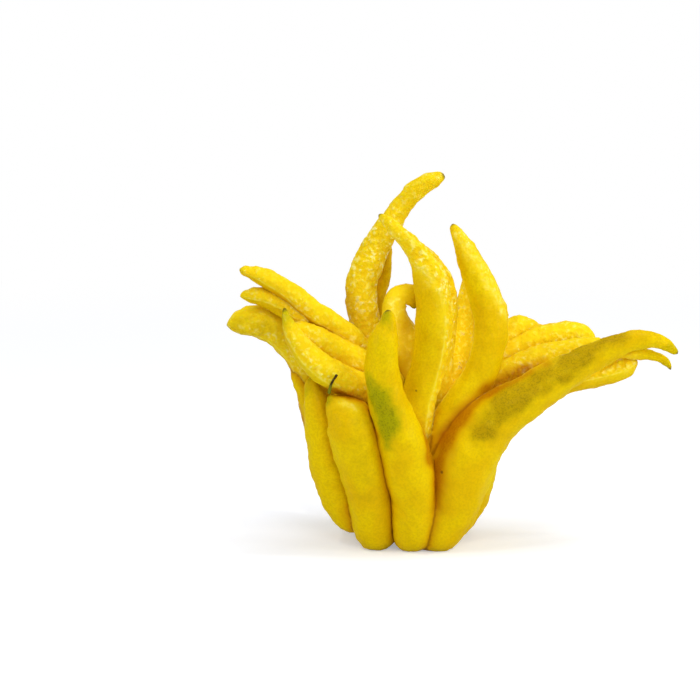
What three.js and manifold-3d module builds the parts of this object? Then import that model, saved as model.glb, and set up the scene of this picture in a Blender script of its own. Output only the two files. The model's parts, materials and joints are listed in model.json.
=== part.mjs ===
// A Buddha's hand citron: one fruit whose palm divides into long, curling fingers.
// It stands on the rounded heels of its outer fingers, with the cut stalk in the hollow between them.
// Millimetres, +Z up, +X to the right of the fruit's front, +Y to its back. It stands on the plane Z = 0.

import * as THREE from "three";
import { mergeVertices } from "three/addons/utils/BufferGeometryUtils.js";
import Module from "manifold-3d";

// ---- Driving dimensions ----

// The palm's axis, measured from the origin, which lies under the middle of the whole fruit.
const PALM = new THREE.Vector2(-26, -13.7);

// Each finger's route from its heel to its tip, as [x, y, z, radius], with x and y measured from that axis.
const FINGERS = {
  // The outer ring: each of these starts at the heel and shows down its whole length.
  front_middle: [
    [3, -9, 12, 8], [6, -19, 8.6, 10], [6.5, -26, 27, 11.5], [4, -30, 43, 12.5], [0, -33, 59, 11.5],
    [-6, -36, 77, 9.5], [-9.5, -38, 94, 8.3], [-9.5, -38, 103, 7.5], [-8.5, -38, 109.5, 7.2],
    [-7.4, -37.3, 114, 5.8], [-6.4, -36.8, 119, 4], [-6.8, -36.4, 124.5, 2.4],
  ],
  front_left: [
    [-4, -8, 12, 8], [-12, -16, 8.2, 9.5], [-14.5, -22, 24, 10.8], [-17, -26, 37, 11.5],
    [-21.5, -29, 53, 12.2], [-24, -31, 63, 12.2], [-26.3, -31, 69.5, 11.4], [-31, -31, 75.5, 7.2],
    [-35, -31, 80.6, 2.8],
  ],
  side_left: [
    [-10, -3, 14, 7.5], [-24.5, -8, 14, 7.5], [-32.5, -12, 28, 8.5], [-36.5, -15, 45, 9], [-39, -17, 61, 8.5],
    [-41.5, -18, 74, 7], [-43.2, -18.5, 82, 4.5], [-43.2, -19, 89, 1.5],
  ],
  side_left_slim: [
    [-31, 2, 21, 7], [-38, -2, 45, 7.5], [-42, -4, 63, 6.5], [-47, -6, 78, 5], [-51, -7, 88, 3.5],
    [-54, -8, 96, 1],
  ],
  left_long: [
    [-26, 8, 19, 8], [-35, 4, 44, 10], [-40, 0, 68, 10], [-46, -4, 92, 9], [-55, -8, 105, 9],
    [-64, -12, 113, 9], [-73, -15, 116, 8], [-80, -17, 115, 6], [-86, -18, 114, 2],
  ],
  right_long: [
    [8, -6, 12, 9], [18, -16, 9.6, 11.5], [26.5, -20, 26, 13.5], [30, -22, 42, 15.5], [37.5, -22, 57, 14.8],
    [49, -22, 70, 12.5], [62, -22, 78, 10.8], [76, -20, 87, 9.4], [90, -18, 95, 7.8], [103, -16, 101, 6.3],
    [115, -14, 105, 5], [126, -12, 105, 4], [133, -11, 102, 2.8], [138, -10, 98, 1],
  ],
  right_low: [
    [11, 2, 14, 8], [25, 2, 9, 9], [33, -2, 21, 10.5], [38, -4, 37, 10], [45, -5, 53, 8],
    [56, -7, 66, 7], [70, -8, 77, 6.7], [84, -8, 84, 6.6], [95, -7, 86.3, 6.4], [106, -6, 88.7, 6],
    [113, -6, 91, 5], [118, -6, 93.5, 3],
  ],
  right_side: [
    [14, 5, 13, 8], [25, 9, 10.5, 9], [32, 12, 27, 9.5], [40, 14, 44, 9], [49, 15, 58, 8],
    [58, 16, 68, 7.2], [67, 18, 80, 6], [74, 19, 92, 1.5],
  ],
  back_left_low: [
    [-12, 6, 14, 8], [-22, 15, 10, 9], [-30, 26, 26, 9.5], [-34.5, 31, 43, 9], [-39, 36, 58, 8],
    [-46, 42, 72, 7], [-52, 48, 84, 5], [-57, 54, 94, 1.5],
  ],
  back_left: [
    [-6, 10, 12, 8], [-11, 20, 8.2, 9.5], [-18, 34, 31, 9.5], [-22, 42, 49, 8.5], [-25, 47, 66, 7.5],
    [-27, 53, 81, 6.5], [-29, 60, 91, 5], [-34, 67, 98, 1.5],
  ],
  back_middle: [
    [3, 11, 12, 8], [4, 22, 8.6, 10], [2, 36, 31, 10], [3, 44, 48, 9], [5, 52, 63, 8],
    [7, 60, 76, 7], [10, 67, 86, 5], [14, 73, 95, 1.5],
  ],
  back_right: [
    [10, 9, 12, 8], [18, 20, 8.2, 9.5], [22, 34, 32, 9.5], [25, 41, 49, 8.5], [28, 46, 64, 7.5],
    [32, 50, 79, 7], [37, 53, 91, 6], [42, 55, 102, 4], [45, 57, 110, 1],
  ],
  back_right_low: [
    [14, 6, 14, 8], [27, 14, 11, 9], [34, 22, 27, 9.5], [41, 28, 42, 9], [49, 32, 56, 8],
    [60, 37, 67, 7], [72, 43, 75, 6], [83, 50, 81, 4.5], [91, 56, 87, 1.5],
  ],
  // The inner fingers, which rise out of the cup of the palm.
  left_fore: [
    [-3, -10, 75, 9], [-15, -18, 81, 8.5], [-26, -24, 86.5, 8], [-36, -29, 93, 8], [-44, -32, 100, 7],
    [-50, -34, 108, 5.5], [-54.5, -35, 116, 3.5], [-57, -35, 125, 1],
  ],
  left_inner: [
    [0, -2, 80, 8], [-17, -11, 92, 8], [-30, -17, 100, 8], [-41, -21, 107, 7], [-49, -24, 112, 5.5],
    [-54, -26, 115, 3],
  ],
  left_upper: [
    [0, 5, 76, 7.5], [-14, -2, 94, 6.5], [-24, -8, 106, 6], [-32, -12, 112.5, 6.3], [-42, -16, 119.5, 6.3],
    [-52, -19, 128, 6], [-62, -22, 135.5, 5.2], [-71, -24, 140.5, 4], [-79, -25, 143, 2.5],
  ],
  left_spur: [
    [-44, -14, 114, 6], [-52, -17, 120, 6], [-60, -19, 125.5, 5.8], [-69, -21, 128.7, 5],
    [-75, -22, 129.3, 3.5], [-79, -22, 129, 1.5],
  ],
  crown_left: [
    [-10, 5, 66, 8.5], [-15, 8, 97, 8.3], [-18, 10, 113, 8.3], [-19, 12, 128, 8.3], [-15.5, 13, 140, 8.3],
    [-10.5, 14, 151, 7.3], [-4, 14, 161, 6.2], [2, 14, 170, 5.4], [8, 13, 177, 5.2], [15, 12, 181.5, 4.6],
    [22, 11, 184.5, 2.8],
  ],
  crown_left_rear: [
    [-12, 22, 66, 6], [-15, 22, 104, 5.5], [-12, 22, 123, 5.3], [-9.5, 22, 131, 5], [-8.3, 22, 139, 4.8],
    [-8, 22, 147, 3.8], [-7, 22, 154, 1.5],
  ],
  hooked: [
    [6, 6, 62, 7.5], [4.5, 3, 90, 7.2], [2, 1, 105, 6.8], [-2, 0, 114, 6.4], [-3, 0, 120, 6.2],
    [-0.5, 0, 125, 6], [3.5, 0, 126, 5.4], [6.5, 0, 123, 4.2], [7, 0, 119, 2],
  ],
  crown_middle: [
    [7, -13, 40, 8], [7.5, -17, 58, 9], [9, -18, 74, 9.2], [13, -18, 89, 9], [16, -18, 103, 9.6],
    [17, -18, 117, 10], [16, -17, 131, 9.8], [13, -16, 141, 8.2], [9.5, -15, 148, 6.2], [5, -14, 153.5, 4.8],
    [-1, -13, 159, 4], [-6, -11, 164, 3], [-11, -10, 168, 1.5],
  ],
  crown_middle_rib: [
    [15, -4, 58, 6.5], [20, -8, 79, 6], [21.5, -9, 100, 6], [23, -10, 117, 6], [22, -10, 131, 6.2],
    [18.5, -10, 139.5, 5.2], [14, -10, 146.5, 4.2], [10, -11, 152, 2],
  ],
  crown_right: [
    [10, -14, 30, 8], [16, -15, 46, 9.5], [22, -15, 61, 9.8], [31, -15, 75, 9.3], [38.5, -14, 87, 9],
    [43.3, -13, 100, 8.8], [44.6, -11, 113, 8.8], [41.8, -9, 126, 8.5], [36.5, -7, 139, 7.2],
    [32.3, -5, 149, 5.4], [29, -4, 156, 3.8], [25.5, -3, 162, 1.8],
  ],
  crown_inner: [
    [22, 4, 62, 7.5], [29, 4, 92, 7], [32, 4, 110, 6], [33, 4, 123, 5], [34, 3, 131, 4], [33, 3, 139, 1.5],
  ],
  crown_stub: [
    [20, -1, 66, 6.5], [25, -4, 82, 6.5], [28, -5, 90, 6], [30, -5, 96, 4],
  ],
  right_peep: [
    [36, 9, 66, 6], [49, 12, 96, 5], [51, 13, 111, 4], [51, 13, 123, 2],
  ],
  right_rear: [
    [28, 11, 66, 7.5], [46, 18, 95, 7.5], [55, 21, 103, 7.5], [61, 23, 106, 6.5], [69, 25, 104, 5],
    [78, 26, 101, 2],
  ],
  right_upper: [
    [28, 6, 66, 7.5], [48, 12, 91, 7], [61, 16, 97, 6.5], [74, 19, 102, 6.5], [85, 21, 103, 7],
    [93, 22, 102, 6], [99, 22, 100, 3],
  ],
  right_mid: [
    [30, -3, 64, 8], [46, -1, 79, 8], [56, 2, 85.5, 9], [68, 5, 91, 8.6], [81, 7, 95.5, 7],
    [93, 8, 99, 5], [103, 9, 101, 2.5],
  ],
  right_tip: [
    [100, -12, 98, 4], [110, -10, 99, 3.6], [117, -8, 97.8, 3.1], [124, -7, 97, 2.6], [130, -6, 95, 2.2],
    [133.5, -6, 92, 1.6], [135, -6, 89, 1],
  ],
  back_inner_left: [
    [0, 20, 56, 7.5], [-2, 26, 78, 7], [-5, 31, 93, 6.5], [-10, 36, 105, 5.5], [-16, 42, 113, 4],
    [-20, 48, 121, 1],
  ],
  back_inner_right: [
    [21, 20, 56, 7.5], [25, 28, 78, 7], [32, 34, 92, 6.5], [41, 40, 101, 5.5], [48, 46, 110, 1.5],
  ],
  back_inner_far: [
    [-20, 15, 54, 7.5], [-28, 20, 71, 7], [-34, 24, 86, 6.5], [-41, 28, 98, 5.5], [-49, 31, 107, 4],
    [-57, 34, 113, 1],
  ],
};
const STATION_STEP = 9; // length of route from one ring of a finger to the next
const END_RINGS = 3; // further rings for the two ends, where a finger rounds off
const END_CROWDING = 0.08; // how much closer together the rings stand there
const SLIM_GIRTH = 7.6; // fingers no thicker than this radius have fewer sides
const SIDES = { slim: 8, stout: 10 };
const TIP_LENGTH = 6; // length over which a finger closes to its point

// The palm's solid core: radius and height up its outline, narrower from front to back and set back a little.
const CORE_OUTLINE = [[0, 8], [20, 9], [30, 22], [35, 42], [34, 58], [25, 70], [0, 77]];
const CORE_DEPTH = 0.9;
const CORE_SET_BACK = 4;
const CORE_SIDES = 20;

// The hollow between the heels, which holds the stalk.
const HOLLOW = { radius: 10, height: 12, sides: 16, rings: 12 };
const FIT_GAP = 0.3;
const CALYX = { radius: 7, waist: 4.4, lobes: 5, thickness: 1.6, points: 40 };
const STALK = { radius: 3.2, taper: 0.92, length: 4.5, sides: 14 };

// The dried style on the tip of the front left finger.
const STYLE = {
  lean: [[-35.2, -32.4, 82.2], [-34.6, -35.8, 87], [-31.4, -38.4, 92.6]],
  radius: 0.8,
  sides: 8,
  steps: 5,
};

// Everything under the plane that the fruit stands on is cut away by a block of this size.
const FLOOR_CUT = { width: 400, depth: 60 };

const wasm = await Module();
wasm.setup();

// ---- Solids ----

function toSolid(geometry) {
  const bare = geometry.clone();
  bare.deleteAttribute("normal");
  bare.deleteAttribute("uv");
  const merged = mergeVertices(bare, 1e-4);
  return new wasm.Manifold(
    new wasm.Mesh({
      numProp: 3,
      vertProperties: merged.attributes.position.array,
      triVerts: new Uint32Array(merged.index.array),
    }),
  );
}

function toGeometry(solid) {
  const mesh = solid.getMesh();
  const geometry = new THREE.BufferGeometry();
  geometry.setAttribute("position", new THREE.BufferAttribute(mesh.vertProperties, 3));
  geometry.setIndex(new THREE.BufferAttribute(mesh.triVerts, 1));
  geometry.computeVertexNormals();
  return geometry;
}

// A finger's radius at a share of its route: its girth, rounded off at the heel, drawn to a point at the tip.
function radiusAt(share, route, length) {
  const place = share * (route.length - 1);
  const at = Math.min(Math.floor(place), route.length - 2);
  const girth = THREE.MathUtils.lerp(route[at][3], route[at + 1][3], place - at);
  const heel = Math.min((share * length) / route[0][3], 1);
  const tip = Math.min(((1 - share) * length) / TIP_LENGTH, 1);
  return girth * Math.sqrt(1 - (1 - heel) ** 2) * Math.sqrt(1 - (1 - tip) ** 2);
}

// A finger is a turned spindle bent along its route.
function finger(route) {
  const stations = route.map(([x, y, z]) => new THREE.Vector3(x, y, z));
  const curve = new THREE.CatmullRomCurve3(stations, false, "centripetal");
  const length = curve.getLength();
  const rings = Math.round(length / STATION_STEP) + END_RINGS;
  const shares = Array.from({ length: rings + 1 }, (_, i) => {
    const even = i / rings;
    return even - Math.sin(2 * Math.PI * even) * END_CROWDING;
  });
  const outline = shares.map((share, i) => {
    const onAxis = i === 0 || i === rings;
    return new THREE.Vector2(onAxis ? 0 : radiusAt(share, route, length), i);
  });
  const girth = Math.max(...route.map((station) => station[3]));
  const spindle = new THREE.LatheGeometry(outline, girth > SLIM_GIRTH ? SIDES.stout : SIDES.slim);

  const frames = parallelFrames(curve, shares);
  const position = spindle.attributes.position;
  for (let i = 0; i < position.count; i++) {
    const { point, normal, binormal } = frames[Math.round(position.getY(i))];
    const bent = point
      .clone()
      .addScaledVector(normal, position.getX(i))
      .addScaledVector(binormal, position.getZ(i));
    position.setXYZ(i, bent.x, bent.y, bent.z);
  }
  return toSolid(spindle);
}

// Frames along a curve that turn only as much as the curve does, so that a tube on them isn't twisted.
function parallelFrames(curve, shares) {
  let tangent = curve.getTangent(0);
  let normal = new THREE.Vector3(0, 1, 0).cross(tangent).normalize();
  return shares.map((share) => {
    const next = curve.getTangent(share);
    const turn = new THREE.Quaternion().setFromUnitVectors(tangent, next);
    normal = normal.clone().applyQuaternion(turn);
    tangent = next;
    return { point: curve.getPoint(share), normal, binormal: normal.clone().cross(tangent) };
  });
}

function palmCore() {
  const outline = CORE_OUTLINE.map(([radius, height]) => new THREE.Vector2(radius, height));
  const core = new THREE.LatheGeometry(outline, CORE_SIDES);
  core.rotateX(Math.PI / 2).scale(1, CORE_DEPTH, 1).translate(0, CORE_SET_BACK, 0);
  return toSolid(core);
}

// The cavity is a dome over the axis, open downwards.
function stalkHollow() {
  const dome = new THREE.SphereGeometry(1, HOLLOW.sides, HOLLOW.rings);
  dome.scale(HOLLOW.radius, HOLLOW.radius, HOLLOW.height);
  return toSolid(dome);
}

function belowFloor() {
  const box = new THREE.BoxGeometry(FLOOR_CUT.width, FLOOR_CUT.width, FLOOR_CUT.depth);
  box.translate(0, 0, -FLOOR_CUT.depth / 2);
  return toSolid(box);
}

// Fingers that press together can seal a pocket of air between them, which is filled.
function withoutPockets(solid) {
  return solid.decompose().reduce((widest, shell) => (shell.volume() > widest.volume() ? shell : widest));
}

function fruitGeometry() {
  let fruit = palmCore();
  for (const route of Object.values(FINGERS)) fruit = fruit.add(finger(route));
  return toGeometry(withoutPockets(fruit.subtract(stalkHollow()).subtract(belowFloor())));
}

// The calyx: a flat rosette of five blunt lobes under the fruit.
function calyxGeometry() {
  const outline = new THREE.Shape();
  for (let i = 0; i < CALYX.points; i++) {
    const angle = (2 * Math.PI * i) / CALYX.points;
    const bulge = 0.5 + 0.5 * Math.cos(CALYX.lobes * angle);
    const radius = THREE.MathUtils.lerp(CALYX.waist, CALYX.radius, Math.sqrt(bulge));
    const x = radius * Math.cos(angle);
    const y = radius * Math.sin(angle);
    if (i === 0) outline.moveTo(x, y);
    else outline.lineTo(x, y);
  }
  outline.closePath();
  return new THREE.ExtrudeGeometry(outline, { depth: CALYX.thickness, bevelEnabled: false });
}

function stalkGeometry() {
  const foot = STALK.radius * STALK.taper;
  const stalk = new THREE.CylinderGeometry(STALK.radius, foot, STALK.length, STALK.sides);
  return stalk.rotateX(Math.PI / 2);
}

function styleGeometry() {
  const section = new THREE.Shape().absarc(0, 0, STYLE.radius, 0, 2 * Math.PI);
  const path = new THREE.CatmullRomCurve3(STYLE.lean.map((point) => new THREE.Vector3(...point)));
  return new THREE.ExtrudeGeometry(section, {
    steps: STYLE.steps,
    curveSegments: STYLE.sides / 2,
    extrudePath: path,
  });
}

// ---- Assembly ----

const rind = new THREE.MeshStandardMaterial({ color: 0xe3c214, roughness: 0.42, metalness: 0 });
const greenRind = new THREE.MeshStandardMaterial({ color: 0x6c7a2a, roughness: 0.6, metalness: 0 });
const cutWood = new THREE.MeshStandardMaterial({ color: 0x8a7a4c, roughness: 0.8, metalness: 0 });
const dryStyle = new THREE.MeshStandardMaterial({ color: 0x3f4a1c, roughness: 0.7, metalness: 0 });

function piece(name, geometry, material) {
  const mesh = new THREE.Mesh(geometry, material);
  mesh.name = name;
  return mesh;
}

const citron = new THREE.Group();
citron.position.set(PALM.x, PALM.y, 0);

citron.add(piece("fruit", fruitGeometry(), rind));

const calyx = piece("calyx", calyxGeometry(), greenRind);
const roofOverCalyx = HOLLOW.height * Math.sqrt(1 - ((CALYX.radius + FIT_GAP) / HOLLOW.radius) ** 2);
const calyxFoot = roofOverCalyx - FIT_GAP - CALYX.thickness;
calyx.position.z = calyxFoot;
citron.add(calyx);

const stalk = piece("cut_stalk", stalkGeometry(), cutWood);
stalk.position.z = calyxFoot - FIT_GAP - STALK.length / 2;
citron.add(stalk);

citron.add(piece("dried_style", styleGeometry(), dryStyle));

export default citron;
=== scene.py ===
# %% [markdown]
# # A Buddha's hand citron
#
# This fruit is a citrus whose segments grow apart into fingers. Here it stands upright on the
# heels of its outer fingers, and a few dry remnants of the flower and the stalk are left on it.
# The lesson builds every finger as a tapering tube, joins them into one closed skin, and then
# spends most of its care on the rind: waxy, pitted with oil glands, lumpy on the inner sides.

# %% [markdown]
# ## The frame
#
# The solid part is loaded first, and its box is kept, because everything modelled here has to
# stand in the same place and at the same size. Lengths are in metres, and MM turns millimetres
# into them.

import json
import math
from types import SimpleNamespace

import bmesh
import bpy
import numpy as np
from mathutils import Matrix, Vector, kdtree, noise

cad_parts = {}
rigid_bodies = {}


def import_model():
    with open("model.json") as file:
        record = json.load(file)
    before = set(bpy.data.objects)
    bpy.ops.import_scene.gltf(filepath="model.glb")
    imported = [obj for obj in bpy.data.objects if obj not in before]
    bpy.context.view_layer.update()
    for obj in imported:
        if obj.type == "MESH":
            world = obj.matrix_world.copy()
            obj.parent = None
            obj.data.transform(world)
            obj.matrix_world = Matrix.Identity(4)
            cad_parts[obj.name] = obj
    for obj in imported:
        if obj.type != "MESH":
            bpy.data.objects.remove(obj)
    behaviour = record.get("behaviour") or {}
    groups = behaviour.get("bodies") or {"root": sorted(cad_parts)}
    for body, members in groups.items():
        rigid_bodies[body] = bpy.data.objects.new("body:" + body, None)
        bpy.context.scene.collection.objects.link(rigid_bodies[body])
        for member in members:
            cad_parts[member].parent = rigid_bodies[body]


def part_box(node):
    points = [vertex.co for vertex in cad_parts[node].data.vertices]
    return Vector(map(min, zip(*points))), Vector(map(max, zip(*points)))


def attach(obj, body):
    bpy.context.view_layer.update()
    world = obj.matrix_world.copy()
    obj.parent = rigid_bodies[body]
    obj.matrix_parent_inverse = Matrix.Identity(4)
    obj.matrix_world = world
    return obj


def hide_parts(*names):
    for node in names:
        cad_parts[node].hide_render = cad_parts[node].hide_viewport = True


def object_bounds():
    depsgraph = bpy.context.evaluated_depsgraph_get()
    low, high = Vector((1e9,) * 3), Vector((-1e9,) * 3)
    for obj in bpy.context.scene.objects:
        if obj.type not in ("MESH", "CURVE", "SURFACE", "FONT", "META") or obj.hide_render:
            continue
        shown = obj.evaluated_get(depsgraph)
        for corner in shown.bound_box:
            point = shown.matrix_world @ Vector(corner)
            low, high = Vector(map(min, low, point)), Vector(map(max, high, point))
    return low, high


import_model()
cad_box = [list(corner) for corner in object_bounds()]
MM = 0.001
print("part's box in metres:", cad_box)

# %% [markdown]
# ## The routes of the fingers
#
# Each finger follows a route of a few stations from its heel to its tip: x, y, z and radius in
# millimetres, with x and y measured from the palm's axis. A list of given stations is the
# plainest way to hold a shape that no formula gives, and it is the same list that the solid
# part was built from, so the skin modelled here fits that solid.

# %% Routes of the outer ring
PALM_AXIS = Vector((-26, -13.7, 0))

OUTER_RING = {
    "front_middle": [
        (3, -9, 12, 8), (6, -19, 8.6, 10), (6.5, -26, 27, 11.5), (4, -30, 43, 12.5),
        (0, -33, 59, 11.5), (-6, -36, 77, 9.5), (-9.5, -38, 94, 8.3), (-9.5, -38, 103, 7.5),
        (-8.5, -38, 109.5, 7.2), (-7.4, -37.3, 114, 5.8), (-6.4, -36.8, 119, 4),
        (-6.8, -36.4, 124.5, 2.4)],
    "front_left": [
        (-4, -8, 12, 8), (-12, -16, 8.2, 9.5), (-14.5, -22, 24, 10.8), (-17, -26, 37, 11.5),
        (-21.5, -29, 53, 12.2), (-24, -31, 63, 12.2), (-26.3, -31, 69.5, 11.4),
        (-31, -31, 75.5, 7.2), (-35, -31, 80.6, 2.8)],
    "side_left": [
        (-10, -3, 14, 7.5), (-24.5, -8, 14, 7.5), (-32.5, -12, 28, 8.5), (-36.5, -15, 45, 9),
        (-39, -17, 61, 8.5), (-41.5, -18, 74, 7), (-43.2, -18.5, 82, 4.5), (-43.2, -19, 89, 1.5)],
    "side_left_slim": [
        (-31, 2, 21, 7), (-38, -2, 45, 7.5), (-42, -4, 63, 6.5), (-47, -6, 78, 5),
        (-51, -7, 88, 3.5), (-54, -8, 96, 1)],
    "left_long": [
        (-26, 8, 19, 8), (-35, 4, 44, 10), (-40, 0, 68, 10), (-46, -4, 92, 9), (-55, -8, 105, 9),
        (-64, -12, 113, 9), (-73, -15, 116, 8), (-80, -17, 115, 6), (-86, -18, 114, 2)],
    "right_long": [
        (8, -6, 12, 9), (18, -16, 9.6, 11.5), (26.5, -20, 26, 13.5), (30, -22, 42, 15.5),
        (37.5, -22, 57, 14.8), (49, -22, 70, 12.5), (62, -22, 78, 10.8), (76, -20, 87, 9.4),
        (90, -18, 95, 7.8), (103, -16, 101, 6.3), (115, -14, 105, 5), (126, -12, 105, 4),
        (133, -11, 102, 2.8), (138, -10, 98, 1)],
    "right_low": [
        (11, 2, 14, 8), (25, 2, 9, 9), (33, -2, 21, 10.5), (38, -4, 37, 10), (45, -5, 53, 8),
        (56, -7, 66, 7), (70, -8, 77, 6.7), (84, -8, 84, 6.6), (95, -7, 86.3, 6.4),
        (106, -6, 88.7, 6), (113, -6, 91, 5), (118, -6, 93.5, 3)],
    "right_side": [
        (14, 5, 13, 8), (25, 9, 10.5, 9), (32, 12, 27, 9.5), (40, 14, 44, 9), (49, 15, 58, 8),
        (58, 16, 68, 7.2), (67, 18, 80, 6), (74, 19, 92, 1.5)],
    "back_left_low": [
        (-12, 6, 14, 8), (-22, 15, 10, 9), (-30, 26, 26, 9.5), (-34.5, 31, 43, 9), (-39, 36, 58, 8),
        (-46, 42, 72, 7), (-52, 48, 84, 5), (-57, 54, 94, 1.5)],
    "back_left": [
        (-6, 10, 12, 8), (-11, 20, 8.2, 9.5), (-18, 34, 31, 9.5), (-22, 42, 49, 8.5),
        (-25, 47, 66, 7.5), (-27, 53, 81, 6.5), (-29, 60, 91, 5), (-34, 67, 98, 1.5)],
    "back_middle": [
        (3, 11, 12, 8), (4, 22, 8.6, 10), (2, 36, 31, 10), (3, 44, 48, 9), (5, 52, 63, 8),
        (7, 60, 76, 7), (10, 67, 86, 5), (14, 73, 95, 1.5)],
    "back_right": [
        (10, 9, 12, 8), (18, 20, 8.2, 9.5), (22, 34, 32, 9.5), (25, 41, 49, 8.5), (28, 46, 64, 7.5),
        (32, 50, 79, 7), (37, 53, 91, 6), (42, 55, 102, 4), (45, 57, 110, 1)],
    "back_right_low": [
        (14, 6, 14, 8), (27, 14, 11, 9), (34, 22, 27, 9.5), (41, 28, 42, 9), (49, 32, 56, 8),
        (60, 37, 67, 7), (72, 43, 75, 6), (83, 50, 81, 4.5), (91, 56, 87, 1.5)],
}
print(len(OUTER_RING), "fingers start at a heel")

# %% [markdown]
# ## The fingers inside the ring
#
# More fingers rise out of the cup of the palm: a crown of upright ones in the middle, a spray to
# each side, and short ones behind. Their routes start deep inside the palm, so that every finger
# is sure to grow together with it.

# %% Routes of the inner fingers
INNER_FINGERS = {
    "left_fore": [
        (-3, -10, 75, 9), (-15, -18, 81, 8.5), (-26, -24, 86.5, 8), (-36, -29, 93, 8),
        (-44, -32, 100, 7), (-50, -34, 108, 5.5), (-54.5, -35, 116, 3.5), (-57, -35, 125, 1)],
    "left_inner": [
        (0, -2, 80, 8), (-17, -11, 92, 8), (-30, -17, 100, 8), (-41, -21, 107, 7),
        (-49, -24, 112, 5.5), (-54, -26, 115, 3)],
    "left_upper": [
        (0, 5, 76, 7.5), (-14, -2, 94, 6.5), (-24, -8, 106, 6), (-32, -12, 112.5, 6.3),
        (-42, -16, 119.5, 6.3), (-52, -19, 128, 6), (-62, -22, 135.5, 5.2), (-71, -24, 140.5, 4),
        (-79, -25, 143, 2.5)],
    "left_spur": [
        (-44, -14, 114, 6), (-52, -17, 120, 6), (-60, -19, 125.5, 5.8), (-69, -21, 128.7, 5),
        (-75, -22, 129.3, 3.5), (-79, -22, 129, 1.5)],
    "crown_left": [
        (-10, 5, 66, 8.5), (-15, 8, 97, 8.3), (-18, 10, 113, 8.3), (-19, 12, 128, 8.3),
        (-15.5, 13, 140, 8.3), (-10.5, 14, 151, 7.3), (-4, 14, 161, 6.2), (2, 14, 170, 5.4),
        (8, 13, 177, 5.2), (15, 12, 181.5, 4.6), (22, 11, 184.5, 2.8)],
    "crown_left_rear": [
        (-12, 22, 66, 6), (-15, 22, 104, 5.5), (-12, 22, 123, 5.3), (-9.5, 22, 131, 5),
        (-8.3, 22, 139, 4.8), (-8, 22, 147, 3.8), (-7, 22, 154, 1.5)],
    "hooked": [
        (6, 6, 62, 7.5), (4.5, 3, 90, 7.2), (2, 1, 105, 6.8), (-2, 0, 114, 6.4), (-3, 0, 120, 6.2),
        (-0.5, 0, 125, 6), (3.5, 0, 126, 5.4), (6.5, 0, 123, 4.2), (7, 0, 119, 2)],
    "crown_middle": [
        (7, -13, 40, 8), (7.5, -17, 58, 9), (9, -18, 74, 9.2), (13, -18, 89, 9),
        (16, -18, 103, 9.6), (17, -18, 117, 10), (16, -17, 131, 9.8), (13, -16, 141, 8.2),
        (9.5, -15, 148, 6.2), (5, -14, 153.5, 4.8), (-1, -13, 159, 4), (-6, -11, 164, 3),
        (-11, -10, 168, 1.5)],
    "crown_middle_rib": [
        (15, -4, 58, 6.5), (20, -8, 79, 6), (21.5, -9, 100, 6), (23, -10, 117, 6),
        (22, -10, 131, 6.2), (18.5, -10, 139.5, 5.2), (14, -10, 146.5, 4.2), (10, -11, 152, 2)],
    "crown_right": [
        (10, -14, 30, 8), (16, -15, 46, 9.5), (22, -15, 61, 9.8), (31, -15, 75, 9.3),
        (38.5, -14, 87, 9), (43.3, -13, 100, 8.8), (44.6, -11, 113, 8.8), (41.8, -9, 126, 8.5),
        (36.5, -7, 139, 7.2), (32.3, -5, 149, 5.4), (29, -4, 156, 3.8), (25.5, -3, 162, 1.8)],
    "crown_inner": [
        (22, 4, 62, 7.5), (29, 4, 92, 7), (32, 4, 110, 6), (33, 4, 123, 5), (34, 3, 131, 4),
        (33, 3, 139, 1.5)],
    "crown_stub": [
        (20, -1, 66, 6.5), (25, -4, 82, 6.5), (28, -5, 90, 6), (30, -5, 96, 4)],
    "right_peep": [
        (36, 9, 66, 6), (49, 12, 96, 5), (51, 13, 111, 4), (51, 13, 123, 2)],
    "right_rear": [
        (28, 11, 66, 7.5), (46, 18, 95, 7.5), (55, 21, 103, 7.5), (61, 23, 106, 6.5),
        (69, 25, 104, 5), (78, 26, 101, 2)],
    "right_upper": [
        (28, 6, 66, 7.5), (48, 12, 91, 7), (61, 16, 97, 6.5), (74, 19, 102, 6.5), (85, 21, 103, 7),
        (93, 22, 102, 6), (99, 22, 100, 3)],
    "right_mid": [
        (30, -3, 64, 8), (46, -1, 79, 8), (56, 2, 85.5, 9), (68, 5, 91, 8.6), (81, 7, 95.5, 7),
        (93, 8, 99, 5), (103, 9, 101, 2.5)],
    "right_tip": [
        (100, -12, 98, 4), (110, -10, 99, 3.6), (117, -8, 97.8, 3.1), (124, -7, 97, 2.6),
        (130, -6, 95, 2.2), (133.5, -6, 92, 1.6), (135, -6, 89, 1)],
    "back_inner_left": [
        (0, 20, 56, 7.5), (-2, 26, 78, 7), (-5, 31, 93, 6.5), (-10, 36, 105, 5.5),
        (-16, 42, 113, 4), (-20, 48, 121, 1)],
    "back_inner_right": [
        (21, 20, 56, 7.5), (25, 28, 78, 7), (32, 34, 92, 6.5), (41, 40, 101, 5.5),
        (48, 46, 110, 1.5)],
    "back_inner_far": [
        (-20, 15, 54, 7.5), (-28, 20, 71, 7), (-34, 24, 86, 6.5), (-41, 28, 98, 5.5),
        (-49, 31, 107, 4), (-57, 34, 113, 1)],
}
FINGERS = {**OUTER_RING, **INNER_FINGERS}
print(len(INNER_FINGERS), "more rise out of the cup of the palm")

# %% [markdown]
# ## From a few stations to a smooth route
#
# A spline through the stations gives a smooth line, and the radius rides along it as a fourth
# number. This kind of spline makes no loops where the stations are unevenly spaced.

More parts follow.
